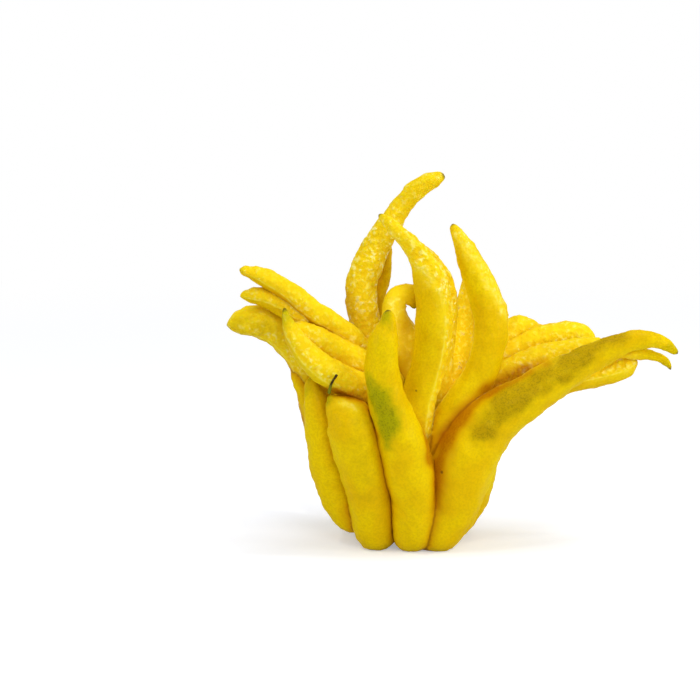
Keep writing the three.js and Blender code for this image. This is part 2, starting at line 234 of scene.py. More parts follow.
# %% Draw a smooth line
def spline_through(stations, per_span=24):
    """Centripetal Catmull-Rom spline through rows of x, y, z and radius."""
    knots = np.array(stations, float)
    knots = np.vstack([2 * knots[0] - knots[1], knots, 2 * knots[-1] - knots[-2]])
    spaces = np.linalg.norm(np.diff(knots[:, :3], axis=0), axis=1) ** 0.5
    times = np.concatenate([[0], np.cumsum(spaces)])
    points = []
    for i in range(1, len(knots) - 2):
        t0, t1, t2, t3 = times[i - 1:i + 3]
        p0, p1, p2, p3 = knots[i - 1:i + 3]
        for t in np.linspace(t1, t2, per_span, endpoint=False):
            a1 = ((t1 - t) * p0 + (t - t0) * p1) / (t1 - t0)
            a2 = ((t2 - t) * p1 + (t - t1) * p2) / (t2 - t1)
            a3 = ((t3 - t) * p2 + (t - t2) * p3) / (t3 - t2)
            b1 = ((t2 - t) * a1 + (t - t0) * a2) / (t2 - t0)
            b2 = ((t3 - t) * a2 + (t - t1) * a3) / (t3 - t1)
            points.append(((t2 - t) * b1 + (t - t1) * b2) / (t2 - t1))
    points.append(knots[-2])
    return np.array(points)


print("a line of", len(spline_through(OUTER_RING["front_middle"])), "points for the middle finger")

# %% [markdown]
# ## Rings along a route
#
# A finger will be a stack of rings. They are spaced evenly along its route, and closer together
# near both ends, where the radius shrinks along an arc so that the finger ends in a round tip.

# %% Space the rings
RING_STEP = 1.3  # millimetres of route between rings
END_RINGS = np.array([0.05, 0.3, 0.8, 1.6, 2.6])  # how far the crowded rings stand from an end
END_LENGTH = 3.8  # the even rings start this far from either end
TIP_BLUNTNESS = 1.5  # a finger closes over this many times the radius of its last station
SHORTEST_TIP = 2  # but over no fewer millimetres


def rings_along(stations):
    """Ring centres in metres, their radii, and how far along the route each stands."""
    line = spline_through(stations)
    run = np.concatenate([[0], np.cumsum(np.linalg.norm(np.diff(line[:, :3], axis=0), axis=1))])
    length, heel = run[-1], line[0, 3]
    tip_length = max(SHORTEST_TIP, TIP_BLUNTNESS * line[-1, 3])
    middle = np.arange(END_LENGTH, length - END_LENGTH, RING_STEP)
    places = np.concatenate([END_RINGS, middle, length - END_RINGS[::-1]])
    rings = np.column_stack([np.interp(places, run, line[:, k]) for k in range(4)])
    rounding = np.sqrt(1 - (1 - np.minimum(places / heel, 1)) ** 2)
    rounding *= np.sqrt(1 - (1 - np.minimum((length - places) / tip_length, 1)) ** 2)
    centres = (rings[:, :3] + np.array(PALM_AXIS)) * MM
    return centres, rings[:, 3] * rounding * MM, places * MM


lengths = {name: rings_along(route)[2][-1] / MM for name, route in FINGERS.items()}
print("longest finger:", max(lengths, key=lengths.get), round(max(lengths.values())), "mm")

# %% [markdown]
# ## Helpers for working on one piece
#
# Blender's operators work on whatever is selected. Before each of them everything else is
# deselected, as one would by hand. These helpers do that, and they read and move a mesh's
# vertices all at once as rows of numbers, which is far quicker than one by one.

# %% Work on one object at a time
FACET = 1.3 * MM  # the size of a facet all over the fruit
WELD_DISTANCE = 0.02 * MM  # vertices closer than this are the same vertex


def only(piece):
    """Selects this piece alone and makes it the active one."""
    bpy.ops.object.select_all(action="DESELECT")
    piece.select_set(True)
    bpy.context.view_layer.objects.active = piece


def edit(piece, chosen="SELECT"):
    """Enters edit mode with everything selected, or with nothing."""
    only(piece)
    bpy.ops.object.mode_set(mode="EDIT")
    bpy.ops.mesh.select_all(action=chosen)


def modify(piece, kind, **settings):
    """Adds a modifier and turns what it shows into the mesh itself."""
    modifier = piece.modifiers.new(kind.lower(), kind)
    for name, value in settings.items():
        setattr(modifier, name, value)
    only(piece)
    bpy.ops.object.modifier_apply(modifier=modifier.name)


def points_of(piece):
    """The places of a mesh's vertices as rows of x, y and z."""
    flat = np.empty(len(piece.data.vertices) * 3)
    piece.data.vertices.foreach_get("co", flat)
    return flat.reshape(-1, 3)


def put_points(piece, points):
    """Moves a mesh's vertices to these places."""
    piece.data.vertices.foreach_set("co", points.ravel())
    piece.data.update()


def weld(piece, distance=WELD_DISTANCE):
    """Merges doubled vertices and turns all faces outwards."""
    edit(piece)
    bpy.ops.mesh.remove_doubles(threshold=distance)
    bpy.ops.mesh.normals_make_consistent(inside=False)
    bpy.ops.object.mode_set(mode="OBJECT")


def box_in_mm(piece):
    """A piece's lowest and highest corners, rounded for reading."""
    points = points_of(piece) / MM
    return points.min(axis=0).round(1), points.max(axis=0).round(1)


print("a facet is", FACET / MM, "mm across")

# %% [markdown]
# ## A finger as a tube
#
# A curve with a round bevel makes a tube, and each point of the curve has a radius of its own,
# so one curve holds the whole taper. Converting it to a mesh leaves the two end caps loose from
# the wall, so their doubled vertices are merged to close the skin.

# %% Make a tube
def tube(name, centres, radii, facet=FACET):
    """A closed round tube through these centres."""
    curve = bpy.data.curves.new(name, "CURVE")
    curve.dimensions, curve.twist_mode = "3D", "MINIMUM"
    curve.bevel_depth = 1
    half_ring = round(math.pi * max(radii) / facet)  # facets on half of the widest ring
    curve.bevel_resolution = max(2, half_ring - 2)
    curve.use_fill_caps = True
    spline = curve.splines.new("POLY")
    spline.points.add(len(centres) - 1)
    for point, centre, radius in zip(spline.points, centres, radii):
        point.co = (*centre, 1)
        point.radius = radius
    piece = bpy.data.objects.new(name, curve)
    bpy.context.scene.collection.objects.link(piece)
    only(piece)
    bpy.ops.object.convert(target="MESH")
    weld(piece)
    return piece


print("a finger 20 mm thick gets", 2 * round(math.pi * 10 * MM / FACET), "facets round it")

# %% [markdown]
# ## The inner side of a finger
#
# On the fruit a finger isn't round. The side that grew against its neighbours is flatter and
# lumpy, and a low ridge runs along each edge of it, where the smooth outer rind begins. Each
# finger gets the direction that its inner side faces, and how far round it reaches in degrees
# to either side. A finger that isn't listed faces the middle of the crown. Some inner sides are
# more pebbled than others.

# %% Which way the inner sides face
INNER_SIDES = {
    "front_middle": ((0, 1, 0.2), 75), "front_left": ((0, 1, 0.2), 75),
    "side_left": ((0.3, 1, 0.2), 75), "side_left_slim": ((0.3, 1, 0.2), 75),
    "left_long": ((0.2, -0.5, 1), 120), "right_long": ((0, 1, 0.1), 92),
    "right_low": ((0, -0.3, 1), 80), "left_fore": ((0, -0.3, 1), 115),
    "left_inner": ((0, -0.5, 1), 120), "left_upper": ((0, -0.4, 1), 100),
    "left_spur": ((0, -0.4, 1), 90), "crown_left": ((0.5, -1, 0), 155),
    "crown_left_rear": ((-1, 1, 0), 60), "hooked": ((0.3, 1, 0), 60),
    "crown_middle": ((0.96, 0.28, 0.3), 80), "crown_middle_rib": ((1, -0.4, 0.2), 170),
    "crown_right": ((-0.7, 0.7, 0), 75), "crown_inner": ((-0.5, -1, 0.2), 170),
    "crown_stub": ((0, -1, 0.3), 170), "right_peep": ((0, -1, 0.3), 120),
    "right_rear": ((0, -0.5, 1), 110), "right_upper": ((0, -0.5, 1), 110),
    "right_mid": ((0, -0.5, 1), 100), "right_tip": ((0, 1, 0.5), 40),
}
PEBBLING = {
    "crown_left": 1.0, "left_upper": 0.5, "left_spur": 0.6, "left_long": 0.6, "right_upper": 1.0,
    "right_rear": 1.0, "right_mid": 1.0, "crown_inner": 1.0, "crown_stub": 1.0,
}
USUAL_PEBBLING = 0.8
CROWN_MIDDLE = np.array([3, 2, 190])  # above the crown, in the measures of the routes
USUAL_REACH = 80


def smooth_step(value, low, high):
    """0 below low, 1 above high, and an easy slope between. If low is the larger, it runs down."""
    share = np.clip((value - low) / (high - low), 0, 1)
    return share * share * (3 - 2 * share)


def inner_side(name, route):
    """The direction of a finger's inner side, and its reach in degrees."""
    if name in INNER_SIDES:
        return INNER_SIDES[name]
    return CROWN_MIDDLE - np.mean(route, axis=0)[:3], USUAL_REACH


print(len(INNER_SIDES), "inner sides are set by hand, the others face the crown")

# %% [markdown]
# ## Flattening and ridging
#
# Every vertex knows its ring, and so its angle round the finger, measured from the middle of the
# inner side. The spoke from the ring's centre to the vertex is made shorter on the inner side
# and a little longer on the ridges. A slow noise adds the swellings that no finger is without.

# %% Shape the section of a finger
FLATTENING = 0.12  # how much shorter the spokes of the inner side are
RIDGE, RIDGE_WIDTH = 0.07, 8  # share of the radius, and degrees
FADE_OUT, FADE_IN = 8, 14  # degrees outside and inside of a ridge, where the inner side fades in
RIDGE_BAND = 22  # degrees, for the pebbled band beside each ridge
WRAPPED = (140, 150)  # an inner side that reaches this far round is pebbled all over
SWELLING, SWELLING_SIZE = 0.05, 17 * MM
SWELLING_MEAN = 0.2


def shape_section(piece, centres, direction, reach):
    """Flattens the inner side and raises its ridges.

    Gives two shares for each vertex: how far it is on the inner side, and how near to a ridge.
    """
    points = points_of(piece)
    gaps = ((points[:, None, :] - centres[None, :, :]) ** 2).sum(axis=2)
    ring = gaps.argmin(axis=1)
    tangents = np.gradient(centres, axis=0)
    tangents /= np.linalg.norm(tangents, axis=1)[:, None]
    facing = np.array(direction, float)
    facing = facing - (tangents @ facing)[:, None] * tangents
    facing /= np.linalg.norm(facing, axis=1)[:, None]
    across = np.cross(tangents, facing)
    spokes = points - centres[ring]
    spokes -= (spokes * tangents[ring]).sum(axis=1)[:, None] * tangents[ring]
    sideways, inwards = ((spokes * way[ring]).sum(axis=1) for way in (across, facing))
    angle = np.abs(np.degrees(np.arctan2(sideways, inwards)))
    inner = smooth_step(angle, reach + FADE_OUT, reach - FADE_IN)
    ridge = np.exp(-((angle - reach) / RIDGE_WIDTH) ** 2)
    swell = np.array([noise.noise(Vector(point / SWELLING_SIZE)) for point in points])
    scale = 1 - FLATTENING * smooth_step(angle, reach, 0) + RIDGE * ridge
    scale += SWELLING * (swell - SWELLING_MEAN)
    put_points(piece, points + spokes * (scale - 1)[:, None])
    beside_ridge = np.exp(-((angle - reach + RIDGE_BAND) / RIDGE_BAND) ** 2)
    return inner, np.maximum(beside_ridge, smooth_step(reach, *WRAPPED))


print("inner sides are", round(FLATTENING * 100), "% flatter")

# %% [markdown]
# ## Lumps and wrinkles
#
# Displace modifiers push the skin in and out by a texture. A cell texture gives rounded pebbles
# with creases between them, and clouds give wrinkles of no set direction. They are held to the
# inner side by a vertex group. The textures are placed in space and not on each finger, so no
# two fingers get the same lumps.

# %% Push the skin in and out
# each pair is a grain and a height
WAVES = ((8 * MM, 1.6 * MM), (3.5 * MM, 0.8 * MM))
WRINKLES, PEBBLES = (3.2 * MM, 0.9 * MM), (3.8 * MM, -0.55 * MM)
PEBBLE_LEVEL = 0.35  # the shade of the cell texture that leaves the skin where it is


def displace(piece, kind, size, height, group="", middle=0.5):
    """Moves the skin along its normals by a texture of this grain, and keeps the result."""
    texture = bpy.data.textures.new(f"{kind.lower()}_{size / MM:.1f}", kind)
    texture.noise_scale = size
    modify(piece, "DISPLACE", texture=texture, texture_coords="LOCAL", strength=height,
           mid_level=middle, vertex_group=group)
    bpy.data.textures.remove(texture)


def wave(piece):
    """A faint waviness all over."""
    for size, height in WAVES:
        displace(piece, "CLOUDS", size, height)


print("wrinkles and pebbles are", WRINKLES[0] / MM, "and", PEBBLES[0] / MM, "mm across")

# %% [markdown]
# ## Marks on the skin
#
# A mark is one number on each vertex, saved in the mesh under a name. Marks tell the later steps
# and the rind's material where the inner sides, the pebbles, the tips and the creases are. They
# survive the joining, because they belong to the mesh itself.

# %% Write marks and roughen by them
PATCH_SIZE = 14 * MM  # how far it is from a lumpy patch to a smoother one
PATCH_MEAN, PATCH_SPREAD = 0.75, 0.7


def roughen(piece, inner):
    """Lumps and wrinkles on the inner side, stronger here and weaker there."""
    group = piece.vertex_groups.new(name="lumpy")
    for index, (weight, point) in enumerate(zip(inner, points_of(piece))):
        if weight > 0:
            patch = PATCH_MEAN + PATCH_SPREAD * noise.noise(Vector(point / PATCH_SIZE))
            group.add([index], min(1, weight * patch), "REPLACE")
    wave(piece)
    displace(piece, "CLOUDS", *WRINKLES, "lumpy")
    displace(piece, "VORONOI", *PEBBLES, "lumpy", PEBBLE_LEVEL)
    piece.vertex_groups.clear()


def mark(piece, name, values):
    """Writes one number for each vertex, for a material or a later step to read."""
    layer = piece.data.attributes.get(name) or piece.data.attributes.new(name, "FLOAT", "POINT")
    layer.data.foreach_set("value", np.asarray(values, np.float32))


def read_mark(piece, name):
    """One number for each vertex, as an array."""
    values = np.empty(len(piece.data.vertices), np.float32)
    piece.data.attributes[name].data.foreach_get("value", values)
    return values


print("patches of lumps are about", PATCH_SIZE / MM, "mm apart")

# %% [markdown]
# ## Every finger from the same steps
#
# Each finger is a tube along its route, shaped, marked and roughened in turn. The very tip of a
# finger carries a dark scar where the flower dried, and on two fingers of the crown the pebbling
# dies away towards the tip.

# %% Make every finger
TIP_TINT_LENGTH = 9 * MM
SCARRED_TIPS = {
    "front_middle", "right_long", "right_tip", "left_fore", "crown_left", "crown_middle",
    "crown_right", "hooked", "back_right", "back_middle", "back_left",
}
FAINT_SCAR = 0.3  # on the tips of all other fingers
LEAST_PEBBLING = 0.3  # the share that is left far from a ridge, and at a calm tip
CALM_TIPS = {"crown_left": (25 * MM, 45 * MM), "crown_middle": (8 * MM, 20 * MM)}


def rising(share):
    """From the least pebbling at share 0 to all of it at share 1."""
    return LEAST_PEBBLING + (1 - LEAST_PEBBLING) * share


def make_finger(name, route):
    """One finger along its route, with its marks."""
    centres, radii, _ = rings_along(route)
    piece = tube(name, centres, radii)
    direction, reach = inner_side(name, route)
    inner, beside_ridge = shape_section(piece, centres, direction, reach)
    points = points_of(piece)
    from_tip = np.linalg.norm(points - centres[-1], axis=1)
    pebbling = inner * rising(beside_ridge) * PEBBLING.get(name, USUAL_PEBBLING)
    if name in CALM_TIPS:
        pebbling *= rising(smooth_step(from_tip, *CALM_TIPS[name]))
    scar = 1 if name in SCARRED_TIPS else FAINT_SCAR
    mark(piece, "inner", inner)
    mark(piece, "pebbled", pebbling)
    mark(piece, "tip", scar * smooth_step(from_tip, TIP_TINT_LENGTH, 0))
    mark(piece, "skin", np.ones(len(points)))
    roughen(piece, inner)
    return piece


fingers = [make_finger(name, route) for name, route in FINGERS.items()]
faces_before = sum(len(finger.data.polygons) for finger in fingers)
print(len(fingers), "fingers,", faces_before, "faces before joining")

# %% [markdown]
# ## The palm
#
# The fingers rise from a solid palm. Its core is a turned shape like a cup, narrower from front
# to back. Half of its outline is drawn in one plane and spun about the upright axis, which is
# the plainest way to make anything round.

# %% Turn the palm
CORE_OUTLINE = [(0, 8), (20, 9), (30, 22), (35, 42), (34, 58), (25, 70), (0, 77)]
CORE_DEPTH, CORE_SET_BACK, CORE_SIDES = 0.9, 4, 140
CORE_STEP = 1.6  # millimetres of outline between rings


def palm_outline():
    """The outline in small steps, as radius and height in metres."""
    corners = np.array(CORE_OUTLINE, float)
    run = np.concatenate([[0], np.cumsum(np.linalg.norm(np.diff(corners, axis=0), axis=1))])
    places = np.append(np.arange(0, run[-1], CORE_STEP), run[-1])
    return np.column_stack([np.interp(places, run, corners[:, k]) for k in range(2)]) * MM


def make_palm():
    """The outline spun round, moved to its place, and marked as plain outer skin."""
    outline = palm_outline()
    mesh = bpy.data.meshes.new("palm")
    mesh.from_pydata([(radius, 0, height) for radius, height in outline],
                     [(i, i + 1) for i in range(len(outline) - 1)], [])
    palm = bpy.data.objects.new("palm", mesh)
    bpy.context.scene.collection.objects.link(palm)
    edit(palm)
    bpy.ops.mesh.spin(steps=CORE_SIDES, angle=2 * math.pi, center=(0, 0, 0), axis=(0, 0, 1))
    bpy.ops.object.mode_set(mode="OBJECT")
    weld(palm)
    points = points_of(palm)
    points[:, 1] = points[:, 1] * CORE_DEPTH + CORE_SET_BACK * MM
    put_points(palm, points + np.array(PALM_AXIS) * MM)
    wave(palm)
    for name in ("inner", "pebbled", "tip"):
        mark(palm, name, np.zeros(len(points)))
    mark(palm, "skin", np.ones(len(points)))
    return palm


citron = make_palm()
print("corners of the palm's core in mm:", *box_in_mm(citron))

# %% [markdown]
# ## One closed skin
#
# A Boolean union makes one closed skin of the palm and the fingers. Where two fingers meet it
# leaves the same sharp crease that the fruit has, which a remesh would blur. Then a dome is cut
# out from below, where the stalk sat, and the heels are sliced level, so that the fruit stands.

# %% Join and cut
HOLLOW_RADIUS, HOLLOW_HEIGHT = 10 * MM, 12 * MM


def add_shape(operator, **settings):
    """Adds one of Blender's basic shapes, with its place and scale moved into its mesh."""
    bpy.ops.object.select_all(action="DESELECT")
    operator(**settings)
    bpy.ops.object.transform_apply(location=True, rotation=True, scale=True)
    return bpy.context.active_object


def combine(piece, other, operation):
    """Joins another piece to this one, or cuts it away, and removes the other."""
    modify(piece, "BOOLEAN", operation=operation, solver="MANIFOLD", object=other)
    bpy.data.objects.remove(other)


for finger in fingers:
    combine(citron, finger, "UNION")

dome = add_shape(bpy.ops.mesh.primitive_uv_sphere_add, segments=64, ring_count=32, radius=1,
                 location=PALM_AXIS * MM, scale=(HOLLOW_RADIUS, HOLLOW_RADIUS, HOLLOW_HEIGHT))
mark(dome, "skin", np.ones(len(dome.data.vertices)))
combine(citron, dome, "DIFFERENCE")

edit(citron)
bpy.ops.mesh.bisect(plane_co=(0, 0, 0), plane_no=(0, 0, 1), use_fill=True, clear_inner=True,
                    threshold=1e-7)
bpy.ops.object.mode_set(mode="OBJECT")
print("one skin of", len(citron.data.polygons), "faces")

# %% [markdown]
# ## Pockets of air
#
# Fingers that press together can close a pocket of air between them. Its walls are a shell of
# their own inside the fruit, which nobody would ever see. Walking from vertex to vertex along
# the edges finds each shell, and only the largest one is kept.

# %% Keep the outer skin
def keep_largest_shell(piece):
    """Removes all shells but the largest, and tells how many there were."""
    work = bmesh.new()
    work.from_mesh(piece.data)
    left, shells = set(work.verts), []
    while left:
        shell, edge = set(), [left.pop()]
        while edge:
            vertex = edge.pop()
            shell.add(vertex)
            for link in vertex.link_edges:
                other = link.other_vert(vertex)
                if other in left:
                    left.discard(other)
                    edge.append(other)
        shells.append(shell)
    largest = max(shells, key=len)
    inside = [vertex for vertex in work.verts if vertex not in largest]
    bmesh.ops.delete(work, geom=inside, context="VERTS")
    work.to_mesh(piece.data)
    work.free()
    return len(shells)


print("shells found:", keep_largest_shell(citron))
citron.name = citron.data.name = "citron_fruit"

# %% [markdown]
# ## Creases
#
# The Boolean writes 0 into the marks of every vertex that it adds, so "skin" now tells the
# creases from the rest. Along them very short edges are dissolved, and the other marks are
# filled in from their neighbours.

# %% Find the creases
ALL_SKIN = 0.99  # a vertex with less of the mark "skin" than this lies on a crease
FLOOR_MARGIN = 0.5 * MM  # the edges of the flats that the fruit stands on are no creases
SHORTEST_EDGE = 0.3 * MM


def fill_from_neighbours(piece, name, empty, rounds=4):
    """Gives the empty vertices the mean of their neighbours' marks."""
    edges = np.empty(len(piece.data.edges) * 2, np.int64)
    piece.data.edges.foreach_get("vertices", edges)
    ends = edges.reshape(-1, 2)
    values, known = read_mark(piece, name).astype(float), ~empty
    for _ in range(rounds):
        total, count = np.zeros(len(values)), np.zeros(len(values))
        for one, other in ((0, 1), (1, 0)):
            np.add.at(total, ends[:, one], values[ends[:, other]] * known[ends[:, other]])
            np.add.at(count, ends[:, one], known[ends[:, other]])
        reached = empty & (count > 0)
        values[reached] = total[reached] / count[reached]
        known = known | reached
    mark(piece, name, values)


def select_points(piece, chosen):
    """Enters edit mode with only these vertices selected."""
    edit(piece, "DESELECT")
    bpy.ops.mesh.select_mode(type="VERT")
    bpy.ops.object.mode_set(mode="OBJECT")
    piece.data.vertices.foreach_set("select", chosen)
    bpy.ops.object.mode_set(mode="EDIT")


on_crease = read_mark(citron, "skin") < ALL_SKIN
crease_line = points_of(citron)[on_crease]
crease_line = crease_line[crease_line[:, 2] > FLOOR_MARGIN]
select_points(citron, on_crease)
bpy.ops.mesh.select_more()
bpy.ops.mesh.dissolve_degenerate(threshold=SHORTEST_EDGE)
bpy.ops.mesh.select_all(action="SELECT")
bpy.ops.mesh.quads_convert_to_tris()
bpy.ops.object.mode_set(mode="OBJECT")
for name in ("inner", "pebbled", "tip"):
    fill_from_neighbours(citron, name, read_mark(citron, "skin") < ALL_SKIN)
print(len(crease_line), "vertices lie on a crease;", len(citron.data.polygons), "triangles")

# %% [markdown]
# ## Soft creases
#
# The rind of two fingers runs together in a crease and isn't cut. A Smooth modifier rounds it by
# about a millimetre. A vertex group holds the modifier to the creases and lets it fade out.

# %% Round the creases
CREASE_ROUNDING = 0.8 * MM
ROUNDING_REACH = 2.5 * CREASE_ROUNDING


def distance_to(points, targets):
    """How far each point is from the nearest of the targets."""
    tree = kdtree.KDTree(len(targets))
    for index, target in enumerate(targets):
        tree.insert(target, index)
    tree.balance()
    return np.array([tree.find(point)[2] for point in points])


from_crease = distance_to(points_of(citron), crease_line)
near_crease = (from_crease < ROUNDING_REACH) & (points_of(citron)[:, 2] > FLOOR_MARGIN)
group = citron.vertex_groups.new(name="near_crease")
for index in np.nonzero(near_crease)[0]:
    group.add([int(index)], math.exp(-(from_crease[index] / CREASE_ROUNDING) ** 2), "REPLACE")
modify(citron, "SMOOTH", factor=0.5, iterations=4, vertex_group=group.name)
citron.vertex_groups.clear()
print(near_crease.sum(), "of", len(near_crease), "vertices are near a crease")

# %% [markdown]
# ## Staying inside the part's box
#
# The lumps may stand a hair's breadth proud of the solid part, whose box is the real size of the
# fruit. The skin near each side of the box is eased in, without a flat.

# %% Ease the skin into the box
EASE = 6 * MM  # how deep the easing reaches from each side of the box


def ease_into(piece, lowest, highest):
    """Squeezes the skin near each side of the box so that its outermost point just touches."""
    points = points_of(piece)
    for axis in range(3):
        for side, limit in ((-1, lowest[axis]), (1, highest[axis])):
            outermost = (points[:, axis] * side).max()
            excess = outermost - limit * side
            if excess > 0:
                depth = np.clip(1 - (outermost - points[:, axis] * side) / EASE, 0, 1)
                points[:, axis] -= side * excess * depth
    put_points(piece, points)


ease_into(citron, *cad_box)
print("corners of the skin in mm:", *box_in_mm(citron))

# %% [markdown]
# ## Strokes of colour
#
# Some colours belong to a place on the fruit and not to a pattern, and so do some painted light
# and shade. They are brushed on: a stroke fades out round a line between two places, which are
# measured like the routes, and it has a radius and a strength. The strokes of one kind add up to
# one mark on the vertices, and the rind's material later breaks that mark into specks. So the
# colours stay in the mesh, and no image has to be painted.

# %% Brush a stroke
def sum_of_strokes(piece, strokes):
    """How much of these strokes each vertex gets, from 0 to 1."""
    points = points_of(piece)
    total = np.zeros(len(points))
    for first, last, radius, strength in strokes:
        one, other = ((np.array(end) + np.array(PALM_AXIS)) * MM for end in (first, last))
        along = other - one
        share = np.clip((points - one) @ along / max(along @ along, 1e-12), 0, 1)
        away = np.linalg.norm(points - one - share[:, None] * along, axis=1)
        total += strength * np.exp(-(away / (radius * MM)) ** 2)
    return np.clip(total, 0, 1)


touched = sum_of_strokes(citron, [((0, -36, 60), (0, -36, 60), 5, 1)]) > 0.1
print("a stroke of 5 mm touches", touched.sum(), "vertices")

# %% [markdown]
# ### Where the rind is still green
#
# A citron ripens from green to yellow unevenly. Some patches stay olive, and so do many tips.

# %% Green strokes
GREEN_STROKES = [
    # the left half of the front middle finger, and the nub at its tip
    ((-16, -41, 91), (-12, -44, 82), 5.5, 0.75), ((-10.5, -45, 80), (-6.5, -45, 70), 7.5, 0.9),
    ((-7, -45, 70), (-8, -42, 57), 4.5, 0.65), ((-7, -39, 117), (-8, -38, 125), 3.5, 0.9),
    # the points of other fingers, and the foot of the dried style
    ((134, -12, 102), (138, -10, 98), 4, 0.6), ((-56, -35, 119), (-57, -35, 125), 4, 0.8),
    ((7, -1, 122), (7, -1, 119), 4, 0.7), ((132, -6, 93), (135, -6, 89), 3.5, 0.6),
    ((-36, -33, 78), (-35, -32, 82), 3, 0.7), ((20, 11, 184), (22, 11, 184), 2.5, 0.5),
    ((-79, -24, 143), (-79, -24, 143), 3, 0.5), ((-47, -22, 80), (-45, -20, 89), 4, 0.5),
    ((-86, -18, 114), (-86, -18, 114), 3, 0.4), ((-10, -10, 168), (-10, -10, 168), 3, 0.4),
    # the side that ripened last, at the back
    ((26, 56, 54), (32, 61, 78), 8, 0.7), ((-24, 54, 48), (-26, 58, 60), 8, 0.55),
    ((-43, 43, 60), (-46, 47, 72), 6, 0.5), ((42, 53, 100), (45, 55, 110), 5, 0.9),
    ((12, 70, 88), (14, 73, 95), 4, 0.8), ((-32, 63, 93), (-35, 67, 98), 4, 0.8),
    ((86, 53, 84), (91, 56, 87), 4, 0.8), ((64, 46, 74), (76, 50, 82), 6, 0.4),
    ((-55, 52, 90), (-57, 54, 94), 4, 0.7),
]
print(len(GREEN_STROKES), "green strokes")

# %% [markdown]
# ### Where it is dull, and painted shade
#
# A finger that was rubbed turns a dull, brownish yellow, with denser spots in it. The same mark
# also lays painted shade over parts of some fingers.

# %% Dull strokes, partly painted shade
DULL_AND_SHADE_STROKES = [
    # a broad dull band, partly painted shade, along the upper half of the long right finger, and
    # denser spots in it
    ((40, -33, 66), (54, -30, 80), 8.5, 0.85), ((54, -30, 80), (86, -24, 98), 8, 0.9),
    ((86, -22, 100), (106, -17, 107), 6.5, 0.85), ((106, -16, 107), (124, -12, 107), 5, 0.6),
    ((-22, -42, 70), (-16, -38, 30), 9, 0.35), ((26, -34, 44), (22, -34, 24), 9, 0.2),
    ((38, -36, 62), (44, -35, 63), 3, 0.6), ((47, -34, 68), (50, -34, 69), 2, 0.3),
    ((53, -34, 75), (56, -33, 76), 2.5, 0.55), ((61, -32, 80), (64, -31, 83), 2.5, 0.6),
    ((71, -30, 83), (73, -30, 84), 2, 0.5), ((79, -28, 88), (82, -28, 89), 2.2, 0.6),
    ((86, -24, 98), (91, -23, 100), 2.5, 0.5), ((66, -28, 91), (70, -27, 93), 3, 0.4),
    # the fore side of the front middle finger's tip, and painted shade on the long left finger
    ((-9, -45, 112), (-9, -46, 96), 6, 0.3), ((-84, -24, 114), (-66, -20, 114), 8, 0.5),
    # the slim finger behind the crown, and some of the back
    ((-12, 18, 112), (-9, 17, 145), 8, 0.45), ((34, 60, 84), (38, 60, 96), 8, 0.5),
    ((-40, 44, 46), (-40, 45, 58), 8, 0.4),
]
print(len(DULL_AND_SHADE_STROKES), "dull strokes")

# %% [markdown]
# ### Rusty folds, with painted shade
#
# Deep between the fingers, where the rind is folded hardest, it goes a rusty orange, and painted
# shade darkens these folds further.

# %% Rusty strokes, with painted shade
# these strokes paint rust and painted shade in the deepest folds
RUST_AND_FOLD_SHADE_STROKES = [
    # the wedge at the foot of the crown, and the crease from it along the long right finger
    ((12, -33, 61), (14, -35, 51), 4, 1.0), ((14, -34, 52), (22, -29, 59), 5, 1.0),
    ((22, -29, 59), (30, -28, 68), 5, 0.9), ((30, -28, 68), (43, -24, 82), 4, 0.8),
    ((43, -24, 82), (58, -15, 86), 3.5, 1.0), ((58, -18, 86), (72, -22, 94), 2.5, 0.8),
    ((46, -8, 81), (61, -5, 88), 4, 1.0), ((61, -5, 88), (70, -3, 92), 3, 0.6),
    ((44, -26, 80), (64, -23, 91), 2.2, 0.7),
    # the side of the long right finger that faces the front middle one
    ((18, -32, 47), (17, -32, 26), 4, 0.7), ((23, -34, 53), (20, -34, 38), 6, 0.4),
    # under the left fore finger, at the foot of the crown and of the hook
    ((-40, -27, 84), (-32, -31, 84), 3, 1.0), ((-32, -31, 83), (-20, -30, 79), 3, 1.0),
    ((-27, 9, 124), (-18, 5, 98), 7, 0.6),
    ((2, -6, 112), (4, -6, 90), 4, 0.6), ((-26, -14, 98), (-10, -8, 92), 4, 0.4),
    ((27, -12, 84), (32, -8, 92), 5, 0.4),
]
print(len(RUST_AND_FOLD_SHADE_STROKES), "rusty strokes")

# %% [markdown]
# ### Lumpy edges, and hollows with painted light
#
# In places the lumpy skin reaches beyond the inner side, round an edge of a finger. And deep
# hollows get painted light: they glow a bright yellow, by a lighter colour and a faint emission
# that stands in for the light reaching them.

# %% Lumpy strokes, and strokes of painted light
LUMPY_STROKES = [
    # the top of the crown's middle finger, and the right edge of its neighbour
    ((-8, -13, 166), (6, -19, 151), 5.5, 0.85), ((10, -21, 148), (22, -24, 136), 5, 1.0),
    ((23, -24, 134), (26, -25, 112), 4.5, 1.0),
    ((29, -6, 157), (42, -13, 140), 3.5, 0.6), ((44, -14, 136), (52, -14, 120), 3.5, 0.6),
    # both edges of the left crown finger
    ((-24, 6, 131), (-25, 7, 112), 3.5, 1.0), ((-8, 7, 155), (-12, 6, 130), 4, 1.0),
    # the shoulder of the front left finger, and the outer tip of the low right one
    ((-30, -37, 80), (-22, -39, 77), 2.5, 0.6), ((96, -12, 90), (114, -9, 94), 4, 0.6),
    # the hook and the right side of its foot
    ((8, -3, 110), (8, -6, 92), 4, 0.9), ((-3, -6, 98), (-3, -6, 122), 6, 0.5),
]
